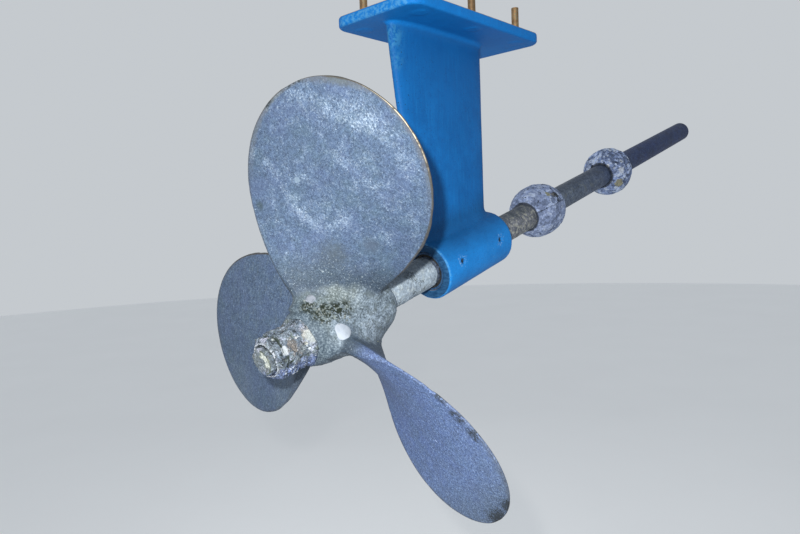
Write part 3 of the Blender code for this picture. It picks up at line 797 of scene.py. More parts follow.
    # Growth and grime at the hub: dark with sparse pale flecks up the blades, thick on the hub
    cloud = look.noise(0.05, 4.0, 0.6)
    fleck = look.noise(0.0026, 3.0, 0.75)
    uneven = (cloud - 0.5) * 0.05
    fringe = (r + uneven).band(0.135, 0.075) * (1 - third * 0.65)
    look.coat(fringe * 0.65, grit.band(0.38, 0.62).between((18, 28, 36), (46, 66, 84)))
    look.coat(fringe * fleck.band(0.61, 0.66) * 0.75, (300, 360, 400))
    near = (r + uneven).band(0.07, 0.053)
    rough_tone = fleck * 0.75 + (relief - 0.5) * 0.22
    growth = rough_tone.band(0.27, 0.36).between((34, 47, 58), (112, 149, 186))
    growth = growth.over(rough_tone.band(0.36, 0.46), (180, 232, 290))
    green = look.spot(around(-0.262, 0.046, -20), 0.075, 0.5, 0.2, 0.02)
    growth = growth.over(green * hue.band(0.4, 0.58) * 0.45, (90, 110, 80))
    growth = growth.over(rough_tone.band(0.455, 0.51) * 0.8, (300, 360, 405))
    mottle = look.noise(0.0120, distortion=0.6)
    growth = growth.over(mottle.band(0.52, 0.4) * 0.55, (50, 64, 62))
    growth = growth.over(mottle.band(0.56, 0.68) * 0.4, (210, 265, 300))
    behind = (ahead + (cloud - 0.5) * 0.02).band(-0.25, -0.272)
    slate = fleck.band(0.45, 0.62).between((34, 54, 78), (120, 160, 190))
    growth = growth.over(behind * 0.85, slate)
    shady = look.spot(around(-0.205, 0.057, -25), 0.046, 0.5, 0.2, 0.02)
    growth = growth.over(shady * 0.7, fleck.band(0.46, 0.6).between((62, 80, 80), (170, 205, 210)))
    growth = growth.over(shady * fleck.band(0.6, 0.65) * 0.6, (330, 380, 390))
    # Painted light: the hub's starboard side made lighter
    sunny = look.spot(around(-0.1830, 0.050, -116), 0.042, 0.3, 0.3, 0.02)
    growth = growth.tinted(sunny, (1200, 1180, 1190))
    look.coat(near * rough_tone.band(0.16, 0.3), growth)
    clump = look.noise(0.005, 3.0, 0.7, at=look.along * (1.0, 0.6, 1.0), distortion=0.8)
    for *place, radius in MOSS_SPOTS:
        patch = look.spot(around(*place), radius, 0.7, 0.4, 0.008)
        look.coat(patch * clump.band(0.57, 0.62) * 0.5, (165, 190, 160))
        look.coat(patch * clump.band(0.55, 0.48) * 0.96, (8, 13, 7))
    return look.done(grain * 0.25 + 0.58, 0.3, (grain, 0.0005, 0.45), (grit, 0.0003, 0.4))


# Places on the blades and the hub as x, radius and degrees, each with a size
PALE_SPOTS = (
    (-0.2271, 0.3271, -10, 0.016, 0.12),
    (-0.2218, 0.3202, -14, 0.020, 0.16),
    (-0.2164, 0.3125, -18, 0.024, 0.22),
    (-0.2116, 0.3108, -22, 0.026, 0.24),
    (-0.2068, 0.3078, -25, 0.027, 0.24),
    (-0.2020, 0.3035, -29, 0.026, 0.23),
    (-0.1972, 0.2987, -32, 0.024, 0.19),
    (-0.1941, 0.2934, -35, 0.021, 0.13),
    (-0.1860, 0.2790, -40, 0.024, 0.19),
    (-0.1830, 0.2635, -43, 0.018, 0.12),
    (-0.2487, 0.2638, 5.7, 0.012, 0.19),
    (-0.2454, 0.2463, 3.7, 0.013, 0.19),
    (-0.2422, 0.2295, 1.8, 0.012, 0.14),
    (-0.2396, 0.2092, 0.5, 0.014, 0.22),
    (-0.2368, 0.1917, -0.8, 0.017, 0.27),
    (-0.2338, 0.1741, -2.3, 0.020, 0.28),
    (-0.2290, 0.1617, -5.4, 0.020, 0.27),
    (-0.2228, 0.1525, -9.4, 0.020, 0.25),
    (-0.2149, 0.1470, -15, 0.020, 0.24),
    (-0.2079, 0.1584, -21, 0.020, 0.24),
    (-0.1999, 0.1499, -27, 0.018, 0.12),
    (-0.2219, 0.1289, -9, 0.018, 0.12),
    (-0.2130, 0.2511, -20, 0.014, 0.14),
    (-0.2095, 0.2428, -23, 0.014, 0.14),
)
BLADE_MARKS = (
    (-0.2318, 0.2149, -5.6, 0.0048, 0.75, (145, 190, 240)),
    (-0.2551, 0.1939, 12.7, 0.0110, 0.10, (30, 46, 56)),
    (-0.2091, 0.1108, -17, 0.0300, 0.05, (48, 62, 78)),
    (-0.1847, 0.1356, -37, 0.0200, 0.05, (48, 64, 94)),
    (-0.2166, 0.2194, -137, 0.0022, 0.60, (420, 450, 480)),
)
EDGE_CHIPS = (
    (-0.2478, 0.2440, -111.2, 0.018, 0.026),
    (-0.2440, 0.2685, -114.3, 0.018, 0.026),
    (-0.2530, 0.2200, -106.5, 0.016, 0.008),
    (-0.2251, 0.3410, -9.5, 0.026, 0.013),
    (-0.2350, 0.3160, -1.5, 0.014, 0.006),
)
MOSS_SPOTS = (
    (-0.2545, 0.046, -40, 0.024),
    (-0.2620, 0.044, -14, 0.016),
    (-0.2400, 0.048, -48, 0.020),
    (-0.2240, 0.049, -51, 0.018),
    (-0.2000, 0.049, 100, 0.016),
    (-0.1700, 0.049, 200, 0.018),
)


# Crusted nuts and the shaft's end


def hexagon(half, angle):
    """Radius of a hexagon that reaches half a width to its flats."""
    turn = np.mod(angle + math.pi / 6, math.pi / 3) - math.pi / 6
    return half / np.cos(turn)


def crust(points, size, seed):
    """Heights of a growth from about -1 to 2: broad lumps, broken plates and pits."""
    bent = points + 0.30 * size * stir(points, size * 0.5, seed + 31)
    plate, mark = grains(bent, size * 0.50, seed + 11)
    plates = (mark - 0.35) * smoothstep(0.80, 0.50, plate)
    pits = dots(bent, size * 0.36, seed + 23, 0.45, 0.55)
    return 0.7 * rough(points, size, seed) + 1.5 * plates - 3.0 * pits


def closed_crust(name, x, bore, rings, relief):
    """Outer rings joined by a bore; the relief is kept for the shading."""
    fore, aft = lathe(x[[0, -1]], np.full(2, bore), rings.shape[1])
    piece = tube(name, np.stack([fore, *rings, aft]), closed=True)
    edge = np.zeros((1, rings.shape[1]))
    set_value(piece, "relief", np.concatenate([edge, 0.5 + 0.5 * relief, edge]).ravel())
    return piece


def crusted_ring(name, x, outer, bore, reach, push, seed, size):
    """A thick ring about the shaft; reach scales its growth outward and push scales it aft."""
    radius = np.broadcast_to(outer, (len(x), NUT_POINTS))
    rings = lathe(x, radius, NUT_POINTS)
    lumps = crust(rings, size, seed)
    out = np.stack([np.zeros_like(lumps), rings[..., 1] / radius, rings[..., 2] / radius], -1)
    rings = rings + out * (lumps * reach[:, None])[..., None]
    rings[..., 0] -= lumps * push[:, None]
    return closed_crust(name, x, bore, rings, lumps)


def nut_radius(x, angle, fore, aft, swell, collar):
    """A grown-over hexagon with a rounded aft rim; a collar of growth swells its fore end."""
    flat = hexagon(NUT_HALF + swell, angle)
    corner = np.minimum(flat, NUT_HALF + swell + 0.0026)
    edge = x - aft if collar else np.minimum(fore - x, x - aft)
    inset = np.clip(NUT_ROUND - edge, 0.0, NUT_ROUND) / NUT_ROUND
    flare = smoothstep(0.013, 0.001, fore - x) * (0.5 + 0.5 * np.cos(angle + math.radians(72)))
    return corner - 0.0040 * inset**2 + collar * flare


def make_nuts(look):
    """Both nuts under their growth, each with its side and its aft face."""
    angle = np.arange(NUT_POINTS) * 2 * math.pi / NUT_POINTS
    face = np.linspace(NUT_FACE_R, STEM_R, NUT_FACE_RINGS)
    crest = 0.0026 * np.exp(-(((face - 0.0235) / 0.0013) ** 2))
    slot = 0.0020 * smoothstep(0.0224, 0.0206, face)
    inward = smoothstep(-0.1, 0.5, np.linspace(0.0, 1.0, NUT_FACE_RINGS))[:, None]
    for hidden, fore, aft, swell, collar, seed in NUTS:
        side = np.linspace(fore, aft, int((fore - aft) / NUT_STEP))
        rim = nut_radius(side[:, None], angle, fore, aft, swell, collar)
        outer = np.concatenate([rim, rim[-1:] * (1 - inward) + face[:, None] * inward])
        x = np.concatenate([side, aft - crest + slot])
        reach = 0.0018 * smoothstep(-0.0006, 0.0024, np.minimum(fore - side, side - aft))
        reach = np.concatenate([reach, np.full(NUT_FACE_RINGS, 0.0004)])
        push = np.concatenate([np.zeros(len(side)), np.full(NUT_FACE_RINGS, 0.0009)])
        name = hidden + "_crust"
        piece = crusted_ring(name, x, outer, NUT_BORE, reach, push, seed, 0.009)
        finish_piece(piece, name, "rotor", look, "bronze", hidden)


def make_shaft_end(look):
    """Growth on the shaft's end, over its side and its round aft face."""
    share = np.linspace(0, 1, 30)
    dome = np.linspace(1.0, 0.06, 26)
    root = CRUST_AFT + 0.0034
    x = np.concatenate([root - share * (root - STEM_AFT), STEM_AFT - STEM_ROUND * (1 - dome**2)])
    outer = np.concatenate([STEM_R - STEM_ROUND * share**4, (STEM_R - STEM_ROUND) * dome])
    reach = np.concatenate([0.0006 + 0.0008 * share, 0.0014 * dome])
    push = np.concatenate([0.0004 * share, 0.0004 + 0.0010 * np.sin(math.pi * dome)])
    piece = crusted_ring("shaft_end_growth", x, outer[:, None], 0.0009, reach, push, 361, 0.008)
    finish_piece(piece, "shaft_end_growth", "rotor", look, "dull_shaft_steel")


def crust_look(name, spots):
    """Slate growth in broken plates, with coloured patches, white flecks and dark cracks."""
    look = Look(name)
    relief = look.stored("relief")
    ahead, side, up = look.parts(look.along)
    broad = look.noise(0.012, 3.0, 0.6)
    fine = look.noise(0.0026, 3.0, 0.75)
    grit = look.noise(0.0013, 2.0, 0.7)
    look.colour = broad.band(0.4, 0.6).between((86, 114, 152), (170, 210, 256))
    green = look.noise(0.0090, 3.0, 0.65, distortion=0.8)
    look.coat(green.band(0.54, 0.62) * 0.65, (105, 132, 105))
    brown = look.noise(0.011, 3.0, 0.65, at=look.place * (1.2, 1.0, 0.9), distortion=0.8)
    look.coat(brown.band(0.56, 0.66) * 0.6, (170, 152, 138))
    lilac = look.noise(0.0085, at=look.place * (0.9, 1.1, 1.3), distortion=0.6)
    look.coat(lilac.band(0.56, 0.62) * 0.8, (330, 370, 480))
    # Painted shade with bluish painted reflection from below, on the growth's underside
    under = (up + (broad - 0.5) * 0.016).band(-0.008, -0.02)
    look.coat(under * 0.75, fine.band(0.42, 0.62).between((50, 80, 180), (155, 218, 430)))
    look.mosaic(0.0034, 0.38, 1.40)
    for *place, radius, shade in spots:
        dim, lit = (tuple(gain * part for part in shade) for gain in (0.62, 1.22))
        varied = fine.band(0.42, 0.62).between(dim, lit)
        look.coat(look.spot(around(*place), radius, 0.9, 0.6, 0.004) * 0.9, varied)
    look.mosaic(0.0021, 0.70, 1.28)
    smooth_end = look.spot((-0.3500, 0.0, 0.0), 0.0215, 0.3, 0.8)
    look.coat(smooth_end * 0.35, (170, 200, 205))
    even = 1 - (look.spot(around(-0.285, 0.0335, -66), 0.015, 0.4, 0.5) * 0.75 | smooth_end * 0.55)
    raised = relief + (fine - 0.5) * 1.8
    look.coat(raised.band(0.96, 1.1) * 0.8 * even, (430, 480, 520))
    low = relief + (fine - 0.5) * 1.1
    look.coat(low.band(0.32, 0.14) * 0.85 * even, (14, 20, 23))
    crack = look.cells(0.0042, at=look.warped(0.0050, 0.0014), feature="DISTANCE_TO_EDGE")
    crack = crack.band(0.09, 0.03) * broad.band(0.36, 0.52)
    look.coat(crack * 0.6 * even, (18, 26, 32))
    cream = look.spot(around(-0.2846, 0.0370, -70), 0.0104, 0.5, 0.6, 0.006)
    look.coat(cream * 0.86, fine.band(0.4, 0.6).between((236, 262, 262), (320, 355, 360)))
    # Grooves between the nuts and round the shaft's end, and the pale ring beside it
    ragged = (fine - 0.5) * 0.003
    groove = abs(ahead - GROOVE + ragged)
    groove = groove.band(0.0022, 0.001) * broad.band(0.34, 0.46)
    look.coat(groove * 0.88, (20, 30, 22))
    oval = look.spots(OVAL_SPOTS, 0.4, 0.7)
    look.coat(oval * 0.88, (370, 410, 445))
    r = look.off_axis() + ragged * 0.7
    behind = ahead.band(CRUST_AFT + 0.0012, CRUST_AFT + 0.0002)
    strip = abs(r - 0.0236).band(0.0016, 0.0008) * behind
    look.coat(strip * fine.band(0.42, 0.5) * 0.85, (400, 440, 490))
    slot = abs(r - 0.0208).band(0.0015, 0.0008) * ahead.band(-0.344, -0.3425)
    broken = up.band(-0.01, 0.008) * fine.band(0.36, 0.5)
    look.coat(slot * broken * 0.85, (12, 17, 19))
    # A cream crescent and an olive ring on the shaft's end
    on_end = ahead.band(-0.3464, -0.3472) * side.band(0.001, -0.004)
    olive_ring = abs(r - 0.0166).band(0.0018, 0.0008) * fine.band(0.4, 0.52)
    look.coat(olive_ring * on_end * 0.75, (62, 78, 42))
    crescent = abs(r - 0.0122).band(0.0038, 0.0024)
    crescent = crescent * up.band(-0.0085, -0.003)
    look.coat(crescent * on_end * 0.85, (385, 420, 390))
    return look.done(0.85, 0.25, (fine, 0.0013, 1.0), (grit, 0.0005, 0.7))


# Spots on the growth: x, radius and degrees, then size and shade
NUT_SPOTS = (
    (-0.3122, 0.0295, -62, 0.0085, (150, 142, 135)),
    (-0.3125, 0.0295, -75, 0.0065, (172, 162, 154)),
    (-0.3014, 0.0300, -86, 0.0070, (150, 178, 195)),
    (-0.2850, 0.0310, -45, 0.0085, (255, 260, 282)),
    (-0.2880, 0.0310, -58, 0.0080, (240, 245, 230)),
    (-0.2845, 0.0345, -62, 0.0098, (330, 350, 345)),
    (-0.2936, 0.0310, -78, 0.0034, (380, 395, 360)),
    (-0.3218, 0.0280, -76, 0.0030, (14, 22, 12)),
    (-0.3221, 0.0275, -88, 0.0044, (22, 40, 16)),
    (-0.3221, 0.0280, -99, 0.0042, (60, 95, 34)),
    (-0.3344, 0.0285, 0, 0.0075, (400, 430, 540)),
    (-0.3290, 0.0295, -12, 0.0036, (420, 460, 470)),
    (-0.3300, 0.0295, -26, 0.0032, (420, 460, 450)),
    (-0.3032, 0.0300, -53, 0.0020, (520, 540, 550)),
    (-0.2850, 0.0320, -76, 0.0018, (12, 15, 15)),
    # The next three rows, low on the starboard side, are painted bluish light reflected from below;
    # the small pale one is a painted highlight
    (-0.3023, 0.0310, -118, 0.0075, (185, 238, 360)),
    (-0.3242, 0.0305, -125, 0.0030, (460, 520, 620)),
    (-0.3380, 0.0300, -121, 0.0060, (120, 155, 290)),
)
STEM_SPOTS = (
    (-0.3484, 0.0107, -45, 0.0032, (400, 430, 350)),
    (-0.3484, 0.0143, -72, 0.0042, (440, 470, 420)),
    (-0.3484, 0.0095, -102, 0.0028, (440, 470, 440)),
    (-0.3484, 0.0128, -18, 0.0055, (110, 135, 80)),
    (-0.3473, 0.0195, -1, 0.0060, (380, 410, 520)),
    (-0.3410, 0.0165, -21, 0.0042, (14, 18, 18)),
    (-0.3374, 0.0185, -45, 0.0034, (16, 22, 24)),
    (-0.3484, 0.0134, 123, 0.0022, (12, 15, 18)),
    (-0.3484, 0.0101, -129, 0.0024, (12, 15, 18)),
    # Bluish painted reflection from below, low on the shaft's end
    (-0.3484, 0.0190, 138, 0.0070, (170, 215, 280)),
)
OVAL_SPOTS = (
    (-0.3264, 0.0295, -61, 0.0042),
    (-0.3278, 0.0295, -74, 0.0042),
    (-0.3271, 0.0300, -67.5, 0.0050),
)


# Shaft crust


def make_sleeve(name, fore, aft, thick, seed):
    """A thin crust round the shaft, broken at its ends."""
    x = np.linspace(fore, aft, int((fore - aft) / SLEEVE_STEP))
    radius = SHAFT_R + SLEEVE_LIFT
    rings = lathe(x, np.full(len(x), radius), SLEEVE_POINTS)
    cover = waves(rings, 0.020, seed) + 0.6 * waves(rings, 0.007, seed + 1)
    lumps = rough(rings, 0.006, seed + 2, 3)
    scabs = np.sqrt(dots(rings, 0.0035, seed + 5, 0.5, 0.55))
    height = thick * (0.9 + 0.35 * cover + 0.35 * lumps + 0.9 * scabs)
    ragged = np.minimum(fore - x, x - aft)[:, None] + 0.0025 * waves(rings, 0.006, seed + 9)
    height = np.clip(height, 0.00008, None) * smoothstep(-0.0005, 0.0015, ragged) + 0.00005
    out = rings * (0.0, 1.0, 1.0) / radius
    rings = rings + out * height[..., None]
    return closed_crust(name, x, SHAFT_R - SLEEVE_SINK, rings, (cover + lumps * 0.5 + scabs) / 1.5)


def sleeve_look(name, base, dark, pale, patchy):
    """Thin crust with speckle and chalky lumps, and painted shade along the top; patchy weighs its
    patches.
    """
    look = Look(name)
    relief = look.stored("relief")
    broad = look.noise(0.011, distortion=0.5)
    fine = look.noise(0.0026, 3.0, 0.75)
    grit = look.noise(0.0014, 2.0, 0.7)
    _, _, up = look.parts(look.along)
    look.colour = broad.band(0.4, 0.6).between(dark, base)
    olive = look.noise(0.009, at=look.place * (1.0, 1.1, 0.9))
    look.coat(olive.band(0.5, 0.6) * patchy, look.mix(0.5, pale, (290, 300, 200)))
    look.coat(olive.band(0.44, 0.34) * patchy, (40, 50, 50))
    look.mosaic(0.0034, 0.72, 1.28)
    look.coat(grit.band(0.5, 0.64) * 0.3, pale)
    chalk = (relief + (fine - 0.5) * 1.6).band(0.82, 1.0)
    look.coat(chalk * 0.55, pale)
    pit = (relief + (fine - 0.5) * 1.2).band(0.28, 0.1)
    look.coat(pit * 0.7, (30, 40, 42))
    # Painted shade along the top of the crust
    top = (up + (broad - 0.5) * 0.022).band(0.01, 0.024)
    look.coat(top * 0.65, (32, 44, 60))
    return look.done(0.85, 0.25, (fine, 0.0008, 0.8), (grit, 0.0004, 0.5))


# Strut


def merge(piece, helper):
    """Join the helper's faces to the piece's, and remove the helper."""
    with drawing(piece.data, piece.data, helper.data):
        pass
    bpy.data.objects.remove(helper)


def make_strut():
    """The casting with its bolt heads filled flush and painted over."""
    heads = node_copy(*(f"palm_bolt_{number}" for number in range(1, 7)))
    points = vertex_points(heads)
    z = points[:, 2]
    points[:, 2] = np.where(z < HEAD_Z, -PALM_THICK - HEAD_FILL, np.minimum(z, HEAD_TOP))
    set_points(heads, points)
    skin = node_copy("strut_casting")
    merge(skin, heads)
    remesh(skin, STRUT_VOXEL, 2)
    points = vertex_points(skin)
    x, y, z = in_shaft(points).T
    bore = (np.hypot(y, z) < BORE_KEEP_R) & (x > BORE_MARGIN) & (x < BARREL_LENGTH - BORE_MARGIN)
    pits = dots(points, 0.012, 51, 0.16, 0.93)
    heights = 0.00018 * waves(points, 0.045, 52) + 0.00006 * waves(points, 0.011, 53) - 0.004 * pits
    heights[bore] = 0.0
    displace(skin, heights)
    set_value(skin, "pits", pits * 6)
    return skin


def strut_look():
    """Brushed blue paint with worn edges, chips and pits, and old compound on the palm's top."""
    look = Look("brushed_blue_antifouling")
    base = (3.2, 102, 325)
    deep = (2.2, 81, 266)
    worn = (11, 145, 385)
    ahead, _, up = look.parts(look.along)
    r = look.off_axis()
    _, _, z = look.parts(look.place)
    cloud = look.noise(0.07, 4.0, 0.6)
    look.colour = cloud.band(0.32, 0.68).between(deep, base)
    on_barrel = r.band(0.064, 0.052)
    streak_arm = look.noise(0.004, at=look.place * (1.0, 1.0, 0.07))
    streak_barrel = look.noise(0.0045, at=look.along * (0.16, 1.0, 1.0))
    streak = streak_arm * (1 - on_barrel) + streak_barrel * on_barrel
    strong = 0.34 + on_barrel * -0.2
    look.coat(streak.band(0.48, 0.76) * strong, worn)
    look.coat(streak.band(0.5, 0.26) * strong, (6, 54, 186))
    haze = look.noise(0.020, 4.0, 0.65)
    look.coat(haze.band(0.52, 0.36) * 0.3, (2, 64, 225))
    dust = look.noise(0.0022, 2.0, 0.7)
    look.coat(dust.band(0.62, 0.76) * 0.35, (32, 160, 355))
    look.coat(dust.band(0.42, 0.32) * 0.65, (4, 46, 155))
    # Painted shade: the arm darker towards the palm, as if in the hull's shade
    painted_hull_shade = z.band(-0.2, -0.03) * cloud.band(0.3, 0.6)
    look.coat(painted_hull_shade * 0.6, (2, 62, 210))
    # Painted light: the barrel's lower half made lighter than its top
    painted_lit_underside = r.band(0.062, 0.0508) * up.band(0.05, -0.004)
    # Painted shade in the fillet where the arm meets the barrel
    painted_fillet_shade = r.band(0.1, 0.058) * (1 - painted_lit_underside)
    look.tint(painted_fillet_shade, (1100, 760, 720))
    look.tint(painted_lit_underside, (2700, 1700, 1550))
    look.tint(z.band(-0.024, -0.018), (850, 1500, 1470))
    # Worn edges: the arm's upper aft edge and the barrel's aft rim
    edge_grain = look.noise(0.006)
    for place, radius in WORN_EDGES:
        edge = look.spot(place, radius, 0.5, 0.3, at=look.place) * edge_grain.band(0.4, 0.62)
        edge = edge * z.band(-0.018, -0.023)
        look.coat(edge * 0.45, (36, 185, 340))
    rim = ahead.band(0.0036, 0.0024) * r.band(0.047, 0.048)
    look.coat(rim * edge_grain.band(0.42, 0.6) * 0.45, (90, 280, 450))
    face = ahead.band(0.0016, 0.0006) * r.band(0.0478, 0.0466)
    swept = look.noise(0.004, at=look.along * (1.0, 0.3, 1.0))
    face_colour = swept.band(0.36, 0.66).between((7, 40, 104), (23, 88, 192))
    look.coat(face, face_colour)
    # Chips round the set screws and small dark pits
    for place in SCREW_PLACES:
        chips = look.noise(0.003, 3.0, 0.7).band(0.54, 0.64)
        chips = look.spot(place, 0.013, 0.9, 0.4, 0.005) * chips
        look.coat(chips * 0.8, (300, 420, 550))
        look.coat(look.spot(place, 0.0052, 0.5, 0.6, 0.004), (10, 18, 30))
    scuffed = look.spot(around(0.13, 0.05, -112), 0.055, 0.4, 0.3)
    scuffed = scuffed * look.noise(0.0024, 3.0, 0.7).band(0.63, 0.69)
    look.coat(scuffed * 0.6, (130, 330, 500))
    specks = look.cells(0.0066).band(0.19, 0.1)
    rare = look.cells(0.0066, output="Color").band(0.52, 0.56)
    near_top = look.spot((-0.110, -0.010, -0.100), 0.085, 0.5, 0.3, at=look.place)
    look.coat(specks * rare * (near_top * 0.75 + 0.25), (4, 20, 50))
    look.coat(look.stored("pits").band(0.2, 0.7), (4, 25, 70))
    # Old bedding compound where the palm met the hull
    seat = z.band(-0.0012, -0.0004)
    old = look.noise(0.03, 5.0, 0.65).band(0.42, 0.58).between((300, 280, 230), (150, 120, 80))
    old = old.over(look.noise(0.009).band(0.55, 0.7) * 0.7, (45, 110, 200))
    look.coat(seat, old)
    bore = r.band(0.0352, 0.0342) * ahead.band(0.0005, 0.002)
    look.coat(bore, (180, 130, 60))
    return look.done(streak * 0.2 + 0.5, 0.12, (streak, 0.0005, 0.45), (dust, 0.0003, 0.5))


SCREW_PLACES = (around(0.040, 0.048, -83), around(0.155, 0.048, -83))
WORN_EDGES = (
    ((-0.134, -0.006, -0.040), 0.030),
    ((-0.128, -0.006, -0.075), 0.022),
    ((-0.136, 0.006, -0.040), 0.030),
)


# Anodes


def make_anode(end, side, seed):
    """One half of an anode with flakes, pits and a closed parting line."""
    piece = node_copy(f"anode_{end}_{side}")
    remesh(piece, ANODE_VOXEL, 2)
    points = vertex_points(piece)
    _, y, z = in_shaft(points).T
    bent = points + 0.0035 * stir(points, 0.006, seed + 41)
    flake, height = grains(bent, 0.0090, seed + 3)
    flakes = (height - 0.4) * smoothstep(0.85, 0.60, flake)
    pits = dots(bent, 0.0060, seed + 5, 0.45, 0.66)
    relief = 0.40 * rough(points, 0.018, seed) + 0.95 * flakes - 2.4 * pits
    parting = np.abs(y * math.sin(ANODE_SPLIT) + z * math.cos(ANODE_SPLIT))
    closed = smoothstep(0.0030, 0.0008, parting)
    strength = 0.0012 if end == "aft" else 0.0015
    outer = smoothstep(0.0262, 0.0290, np.hypot(y, z))
    displace(piece, (relief * strength + 0.0006 * closed) * outer)
    set_value(piece, "relief", 0.5 + 0.5 * relief)
    set_value(piece, "flakes", flakes + 0.3)
    return piece


def anode_look(name, base, dark, pale, chips, seam):
    """Corroded zinc: flaked plates, pale chips, dark holes and a ragged dark parting line."""
    look = Look(name, 0.1)
    relief = look.stored("relief")
    flakes = look.stored("flakes")
    broad = look.noise(0.018, 4.0, 0.6)
    patch = look.noise(0.0070, 3.0, 0.7, distortion=0.8)
    fine = look.noise(0.0024, 3.0, 0.75)
    grit = look.noise(0.0013, 2.0, 0.7)
    look.colour = broad.band(0.36, 0.64).between(dark, base)
    tone = flakes + (patch - 0.5) * 0.8
    look.coat(tone.band(0.4, 0.62) * 0.6, pale)
    look.coat(grit.band(0.5, 0.66) * 0.35, pale)
    look.coat(tone.band(0.22, 0.02) * 0.5, (36, 50, 80))
    look.mosaic(0.0062, 1 - 0.55 * chips, 1 + 0.75 * chips)
    look.mosaic(0.0034, 1 - 0.50 * chips, 1 + 0.50 * chips)
    chip = (look.noise(0.0046, 3.0, 0.7) + (flakes - 0.3) * 0.26).band(0.6, 0.68)
    look.coat(chip * chips, (400, 460, 540))
    for *place, radius, shade in ZINC_SPOTS:
        ragged = look.spot(around(*place), radius, 0.7, 0.7, 0.006)
        look.coat(ragged, (fine.band(0.45, 0.6) * 0.5).between(shade, (50, 58, 70)))
    crack = look.cells(0.0080, at=look.warped(0.0070, 0.0022), feature="DISTANCE_TO_EDGE")
    crack = crack.band(0.055, 0.015) * patch.band(0.46, 0.56)
    look.coat(crack * 0.65, (24, 32, 50))
    hole = (relief + (fine - 0.5) * 0.6).band(0.24, 0.1)
    look.coat(hole * 0.92, (10, 14, 20))
    _, side, up = look.parts(look.along)
    parting = side * math.sin(ANODE_SPLIT) + up * math.cos(ANODE_SPLIT)
    parting = abs(parting + (patch - 0.5) * 0.011)
    torn = parting.band(0.0019, 0.0007) * fine.band(0.44, 0.56)
    look.coat(torn * seam, (14, 18, 24))
    r = look.off_axis()
    inner = (r + (patch - 0.5) * 0.003).band(0.0318, 0.0296)
    look.coat(inner * 0.85, (16, 20, 26))
    return look.done(0.88, 0.25, (fine, 0.0010, 0.9), (grit, 0.0004, 0.6))


ZINC_SPOTS = (
    (0.6830, 0.0454, -121, 0.0120, (230, 225, 160)),
    (0.6738, 0.0303, -45, 0.0045, (520, 560, 620)),
    (0.3727, 0.0520, -50, 0.0090, (14, 18, 24)),
    (0.3800, 0.0510, -57, 0.0060, (14, 18, 24)),
    (0.3587, 0.0540, -46, 0.0065, (230, 235, 165)),
    (0.6880, 0.0460, -82, 0.0085, (420, 470, 560)),
    (0.6960, 0.0500, -60, 0.0060, (400, 450, 540)),
)


# Plain metal parts


def worn_metal(name, base, dark, stain, roughness, metallic, grain=0.003):
    """A dull metal with darker clouds, stains and fine grain."""
    look = Look(name, metallic)
    cloud = look.noise(0.012, 4.0, 0.65)
    fine = look.noise(grain, 3.0, 0.7)
    look.colour = cloud.band(0.35, 0.65).between(dark, base)
    spot = (fine + (cloud - 0.5) * 0.6).band(0.54, 0.68)
    look.coat(spot * 0.7, stain)
    return look.done(fine * 0.25 + roughness, 0.4, (fine, grain / 12, 0.7))


def shaft_look():
    """Dark dull shaft with fine pale speckle, darker forward, partly as painted shade of the hull;
    painted shade along its top.
    """
    look = Look("dull_wet_shaft", 0.15)
    ahead, _, up = look.parts(look.along)
    cloud = look.noise(0.03, 4.0, 0.6)
    streak = look.noise(0.006, 3.0, 0.65, at=look.along * (0.12, 1.0, 1.0))
    fine = look.noise(0.0024, 3.0, 0.75)
    # Darker forward: partly the shaft's own colour, partly painted shade of the hull above it
    near = ahead.band(0.9, 0.45)
    light = cloud.band(0.35, 0.65).between((46, 66, 106), (70, 95, 148))
    dark = cloud.band(0.35, 0.65).between((3, 15, 64), (6, 22, 95))
    look.colour = near.between(dark, light)
    look.coat(streak.band(0.52, 0.74) * 0.5, near.between((40, 56, 88), (100, 122, 142)))
    look.coat(fine.band(0.58, 0.7) * 0.7, near.between((98, 145, 240), (200, 250, 310)))
    look.coat(fine.band(0.44, 0.34) * 0.8, near.between((6, 14, 34), (14, 20, 28)))
    coarse = look.noise(0.0065, 3.0, 0.85)
    look.coat(coarse.band(0.52, 0.64) * 0.6, near.between((40, 70, 150), (150, 185, 225)))
    look.coat(coarse.band(0.47, 0.36) * 0.65, near.between((3, 8, 30), (14, 20, 28)))
    rusty = look.noise(0.014)
    look.coat(rusty.band(0.54, 0.64) * near * 0.4, (90, 98, 80))
    # Painted shade along the shaft's top
    shade = up.band(0.01, 0.024) * near
    look.coat(shade * 0.5, (18, 28, 46))
    turned = look.noise(0.0012, 2.0, 0.6, at=look.along * (1.0, 0.08, 0.08))
    cut = ahead.band(1.2185, 1.2198)
    look.coat(cut, turned.band(0.35, 0.7).between((180, 185, 185), (330, 340, 340)))
    return look.done(fine * 0.3 + 0.48, 0.4, (fine, 0.0006, 0.8))


def dress_nodes():
    """Procedural materials on the CAD pieces that stay as they are."""
    bolt = worn_metal("dull_bolt_bronze", (300, 190, 95), (170, 110, 60), (110, 180, 140), 0.42, 0.85)
    steel = worn_metal("old_screw_steel", (150, 155, 160), (75, 80, 85), (120, 80, 55), 0.45, 0.6)
    socket = worn_metal("painted_over_socket", (10, 18, 30), (4, 8, 14), (20, 45, 80), 0.7, 0.0)
    rubber = worn_metal("old_rubber", (16, 17, 18), (9, 10, 11), (35, 36, 34), 0.6, 0.0)
    brass = worn_metal("old_brass", (330, 235, 110), (200, 140, 65), (110, 150, 110), 0.4, 0.85)
    slate = ((150, 180, 195), (50, 62, 66), (300, 330, 350))
    pin = worn_metal("grown_over_pin", *slate, 0.8, 0.0, grain=0.0016)
    looks = {"bearing_shell": bearing_look(), "bearing_liner": rubber, "shaft": shaft_look()}
    looks.update({"propeller_key": brass, "cotter_pin": pin})
    for name in frame["nodes"]:
        if name.startswith("palm_bolt"):
            looks[name] = bolt
        elif "screw" in name:
            looks[name] = socket if name.startswith("set") else steel
    for name, look in looks.items():
        for slot in frame["nodes"][name].material_slots:
            slot.material = look


